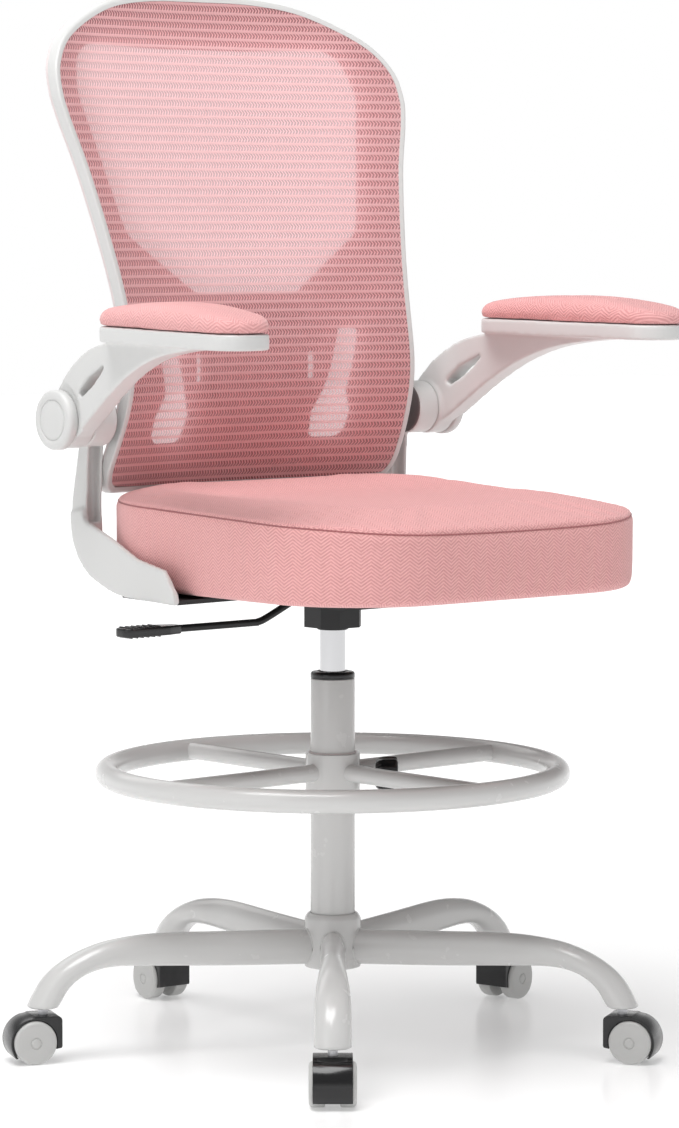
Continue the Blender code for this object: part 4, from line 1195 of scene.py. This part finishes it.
def shell_holes():
    """Heart-shaped upper opening, two bottle-shaped lower ones and two short slots beside them."""
    heart = [
        (0.072, 0.826, 0.015), (0.166, 0.893, 0.030), (0.2015, 1.050, 0.040), (0.186, 1.103, 0.035),
        (0.060, 1.099, 0.050),
    ]
    heart += [(-x, z, radius) for x, z, radius in reversed(heart)]
    bottle = [
        (0.092, 0.662, 0.010), (0.140, 0.662, 0.014), (0.141, 0.692, 0.008), (0.131, 0.716, 0.008),
        (0.147, 0.786, 0.005), (0.119, 0.786, 0.005), (0.098, 0.716, 0.008), (0.088, 0.692, 0.008),
    ]
    slot = [(0.076, 0.729, 0.004), (0.085, 0.729, 0.004), (0.085, 0.761, 0.004), (0.076, 0.761, 0.004)]
    holes = [rounded(heart, 12)]
    for outline in (rounded(bottle), rounded(slot)):
        holes += [outline, [(-x, z) for x, z in reversed(outline)]]
    return holes


def curved_sheet(outline, holes, front, thickness, step):
    """Plate that follows the back's surface, cut into rows and columns of the given step."""
    shape = bmesh.new()
    edges = []
    for loop in [outline] + holes:
        verts = [shape.verts.new((x, 0.0, z)) for x, z in loop]
        edges += [shape.edges.new(pair) for pair in zip(verts, verts[1:] + verts[:1])]
    bmesh.ops.triangle_fill(shape, use_beauty=True, edges=edges)
    xs = [x for x, _ in outline]
    zs = [z for _, z in outline]
    planes = [((0, 0, z), (0, 0, 1)) for z in np.arange(min(zs) + step, max(zs), step)]
    planes += [((x, 0, 0), (1, 0, 0)) for x in np.arange(min(xs) + step, max(xs), step * 1.6)]
    for point, normal in planes:
        geometry = shape.verts[:] + shape.edges[:] + shape.faces[:]
        bmesh.ops.bisect_plane(shape, geom=geometry, plane_co=point, plane_no=normal, dist=WELD)
    near = shape.verts[:]
    extruded = bmesh.ops.extrude_face_region(shape, geom=shape.faces[:], use_keep_orig=True)
    far = [item for item in extruded["geom"] if isinstance(item, bmesh.types.BMVert)]
    for verts, depth in ((near, front), (far, front + thickness)):
        for vert in verts:
            vert.co.y = back_surface(vert.co.x, vert.co.z) + depth
    bmesh.ops.recalc_face_normals(shape, faces=shape.faces)
    return shape


def shell_rib(z):
    """Level strengthening rib across the front face of the shell, below the heart."""
    path = []
    for k in range(25):
        x = -0.070 + 0.140 * k / 24
        path.append((x, back_surface(x, z) + SHELL_FRONT - 0.0012, z))
    return tube(path, 0.0018, 10)


def make_back():
    """Mesh, rim, rear shell with its ribs, and lumbar support."""
    shape = net_shape()
    area = sum(face.calc_area() for face in shape.faces)
    mesh = piece("mesh_sheet", shape, "pink_mesh", "upper", ["back_mesh"], 180)
    piece("rim", frame_ring(), "white_plastic", "upper", ["back_frame"], 60)
    edge = offset_outline(back_outline(10), FRAME_LIP - 0.001)
    shell = curved_sheet(edge, shell_holes(), SHELL_FRONT, SHELL_THICKNESS, 0.010)
    # The shell, its ribs and the lumbar support carry grey_plastic's painted pink cast.
    piece("shell", shell, "grey_plastic", "upper", ["back_shell"], 40)
    for k, z in enumerate((0.650, 0.802, 0.814)):
        piece(f"shell_rib_{k + 1}", shell_rib(z), "grey_plastic", "upper")
    corners = [(0.066, 0.770, 0.02), (0.056, 0.700, 0.02), (-0.056, 0.700, 0.02), (-0.066, 0.770, 0.02)]
    lumbar = curved_sheet(rounded(corners), [], 0.0055, 0.0040, 0.008)
    piece("lumbar", lumbar, "grey_plastic", "lumbar", ["lumbar_support"], 40)


# ---------------------------------------------------------------- arms

def splayed(shape):
    """Slant a shape outward towards the front, about the arm's pivot."""
    for vert in shape.verts:
        vert.co.x += (PIVOT_Y - vert.co.y) * ARM_SPLAY
    return shape


def tilted(shape):
    """Raise the rear end of a pad or its plate a little."""
    for vert in shape.verts:
        along = (vert.co.y - PAD_CENTRE_Y) / PAD_LENGTH + 0.5
        vert.co.z += PAD_REAR_RISE * along
    return shape


def bracket_shape():
    """Side bracket: foot beside the cushion, upright leg and inner half of the barrel."""
    bottom = FLANGE_TOP - FLANGE_THICKNESS
    upright = rounded([
        (0.1380, 0.6900, 0.0), (0.1430, 0.6000, 0.0), (0.1400, 0.5450, 0.0), (0.1600, 0.5420, 0.018),
        (0.1710, 0.5700, 0.060), (0.1680, 0.6050, 0.120), (0.1500, 0.6900, 0.0),
    ], 12)
    leg = prism(upright, LEG_INNER_X, LEG_OUTER_X, "X")
    foot_outline = rounded([
        (0.1440, 0.5950, 0.0), (0.1420, 0.5830, 0.012), (0.0820, 0.5660, 0.060), (0.0280, 0.5480, 0.060),
        (-0.0300, 0.5400, 0.008), (-0.0540, 0.5150, 0.008), (-0.0540, bottom, 0.002),
        (0.0700, bottom + 0.0015, 0.180), (0.1300, 0.5225, 0.090), (0.1640, 0.5480, 0.060),
        (0.1710, 0.5900, 0.0),
    ], 12)
    foot = prism(foot_outline, FOOT_OUTER_X - FOOT_THICKNESS, FOOT_OUTER_X, "X")
    for vert in foot.verts:
        vert.co.x += (FOOT_REAR_Y - vert.co.y) * FOOT_SPLAY
    barrel = along_x(cylinder(BARREL_RADIUS, BARREL_INNER, BARREL_SPLIT - 0.0003), PIVOT_Y, PIVOT_Z)
    groove = box((0.2115, 0.130, 0.580), (0.2265, 0.1535, 0.664))
    return softened(cut(join(leg, foot, barrel), groove))


def flange_shape():
    """Steel tongue of a side bracket, under the cushion."""
    bottom = FLANGE_TOP - FLANGE_THICKNESS
    flange_outline = rounded([
        (FLANGE_INNER_X, -0.045, 0.012), (0.2560, -0.0520, 0.0), (0.2440, 0.0600, 0.0),
        (FLANGE_INNER_X, 0.070, 0.012),
    ])
    return prism(flange_outline, bottom + 0.0003, FLANGE_TOP, "Z")


def pad_outline(inset):
    """Plan outline of an arm pad, with round ends."""
    half_length = PAD_LENGTH / 2 - inset
    half_width = PAD_WIDTH / 2 - inset
    front = PAD_CENTRE_Y - half_length
    back = PAD_CENTRE_Y + half_length
    radius = half_width * 0.92
    corners = [
        (ARM_X + half_width, front, radius), (ARM_X + half_width, back, radius),
        (ARM_X - half_width, back, radius), (ARM_X - half_width, front, radius),
    ]
    return rounded(corners, 12)


def arm_shape():
    """Swept arm with a tapered slot, from the pivot's knuckle up to the plate under the pad."""
    half_width = 0.0125
    under = (
        (0.1060, 0.6760), (0.0900, 0.6860), (0.0680, 0.7010), (0.0320, 0.7250), (-0.0070, 0.7465),
        (-0.0510, 0.7625), (-0.0950, 0.7710), (-0.1500, 0.7765),
    )
    over = (
        (0.0300, 0.7800), (0.0480, 0.7775), (0.0800, 0.7690), (0.1160, 0.7480), (0.1400, 0.7250),
        (0.1600, 0.7000),
    )
    beam_outline = spline(under, 6) + [(-0.1500, 0.7800)] + spline(over, 6)
    beam = splayed(prism(beam_outline, ARM_X - half_width, ARM_X + half_width, "X"))
    plate = tilted(splayed(prism(pad_outline(0.0010), PAD_BASE_BOTTOM, PAD_BASE_TOP, "Z")))
    knuckle = along_x(cylinder(KNUCKLE_RADIUS, BARREL_SPLIT, KNUCKLE_OUTER), PIVOT_Y, PIVOT_Z)
    slot_outline = rounded([
        (0.0385, 0.7580, 0.0015), (0.0530, 0.7430, 0.010), (0.0690, 0.7310, 0.020), (0.0905, 0.7195, 0.003),
        (0.0985, 0.7235, 0.003), (0.0770, 0.7410, 0.030),
    ])
    slot = prism(slot_outline, 0.20, 0.32, "X")
    barrel_room = along_x(cylinder(0.040, 0.20, BARREL_SPLIT), PIVOT_Y, PIVOT_Z)
    cap_room = along_x(cylinder(0.040, KNUCKLE_OUTER, 0.32), PIVOT_Y, PIVOT_Z)
    beam = cut(beam, slot, barrel_room, cap_room)
    return softened(join(knuckle, beam, plate))


def pad_crown(y):
    """Height of the pad's top along its length."""
    along = (y - PAD_CENTRE_Y) / (PAD_LENGTH / 2)
    return PAD_TOP - 0.0012 - 0.0125 * abs(along) ** 2.6


def pad_shape():
    """Soft arm pad before it is swollen."""
    levels = [
        (0.0120, -0.02), (0.0010, 0.0), (0.0006, 0.12), (0.0006, 0.46), (0.0022, 0.70), (0.0060, 0.88),
        (0.0130, 0.97), (0.0240, 1.0),
    ]
    base = PAD_BASE_TOP + 0.0006
    rings = []
    for inset, share in levels:
        ring = []
        for x, y in even(pad_outline(inset), 160):
            ring.append((x, y, base + max(share, 0.0) * (pad_crown(y) - base)))
        rings.append(ring)
    return tilted(splayed(loft(rings)))


def cap_shape():
    """Cap over the barrel's outer end, with a ring groove in its face."""
    face = CAP_OUTER
    cap = turned([
        (0.0, KNUCKLE_OUTER + 0.0003), (CAP_RADIUS - 0.001, KNUCKLE_OUTER + 0.0003),
        (CAP_RADIUS, KNUCKLE_OUTER + 0.0013), (CAP_RADIUS, face - 0.0042),
        (CAP_RADIUS - 0.0006, face - 0.0022), (CAP_RADIUS - 0.0020, face - 0.0008),
        (CAP_RADIUS - 0.0042, face), (0.0236, face), (0.0228, face - 0.0005), (0.0222, face - 0.0016),
        (0.0216, face - 0.0016), (0.0208, face - 0.0006), (0.0192, face - 0.0002),
        (0.0100, face - 0.0001), (0.0, face - 0.0001),
    ], 96)
    return along_x(cap, PIVOT_Y, PIVOT_Z)


def barrel_shade_disc_shape():
    """Dark disc set into the inner end of the barrel: painted shade on the barrel's white end, with a
    painted pink reflection from the mesh.
    """
    disc = turned([
        (0.0, BARREL_INNER - 0.0012), (0.0150, BARREL_INNER - 0.0012), (0.0278, BARREL_INNER - 0.0008),
        (0.0288, BARREL_INNER + 0.0006), (0.0, BARREL_INNER + 0.0006),
    ], 64)
    return along_x(disc, PIVOT_Y, PIVOT_Z)


def pad_seam(_, y):
    """Height of the seam above the pad's tilted plate."""
    return PAD_BASE_TOP + 0.0042 + PAD_REAR_RISE * ((y - PAD_CENTRE_Y) / PAD_LENGTH + 0.5)


def make_arms():
    """Both sides: bracket with its tongue, arm, pad with its seam, cap, and the dark disc of painted shade
    in the barrel's inner end.
    """
    def is_held(point):
        return point[2] < pad_seam(point[0], point[1]) - 0.0012
    pad = finer(swollen(pad_shape(), 0.004, 0.0022, is_held))
    pad = grooved(pad, pad_seam, 0.0007, 0.0016)
    shapes = {
        "bracket": bracket_shape(),
        "arm": arm_shape(),
        "pad": pad,
        "cap": cap_shape(),
        "barrel_shade_disc": barrel_shade_disc_shape(),
        "flange": flange_shape(),
    }
    for side, own_side in (("left", bmesh.types.BMesh.copy), ("right", mirrored)):
        made = {key: own_side(shape) for key, shape in shapes.items()}
        piece(f"bracket_{side}", made["bracket"], "white_plastic", "upper", [f"side_bracket_{side}"], 180)
        piece(f"arm_{side}", made["arm"], "white_plastic", f"arm_{side}", [f"arm_support_{side}"], 180)
        cover = piece(f"pad_{side}", made["pad"], "pink_fabric", f"arm_{side}", [f"arm_pad_{side}"], 80)
        piece(f"cap_{side}", made["cap"], "white_plastic", "upper", [f"arm_pivot_cap_{side}"], 50)
        # Disc of painted shade, with a painted pink reflection, in the barrel's inner end.
        piece(f"liner_{side}", made["barrel_shade_disc"], "dark_plastic", "upper")
        piece(f"flange_{side}", made["flange"], "black_steel", "upper")


# ---------------------------------------------------------------- everything

def dress_cad_nodes():
    """Give the CAD nodes that stay their finished looks."""
    for entry in frame["record"]["subparts"]:
        item = NODES[entry["node"]]
        if item.hide_render:
            continue
        item.data.materials.clear()
        item.data.materials.append(LOOKS[entry["material_slot"]])
        item.data.shade_smooth()
        item.data.set_sharp_from_angle(angle=math.radians(32))


make_camera()
make_stage()
make_base()
make_column()
make_ring()
make_lever()
make_seat()
make_back()
make_arms()
dress_cad_nodes()
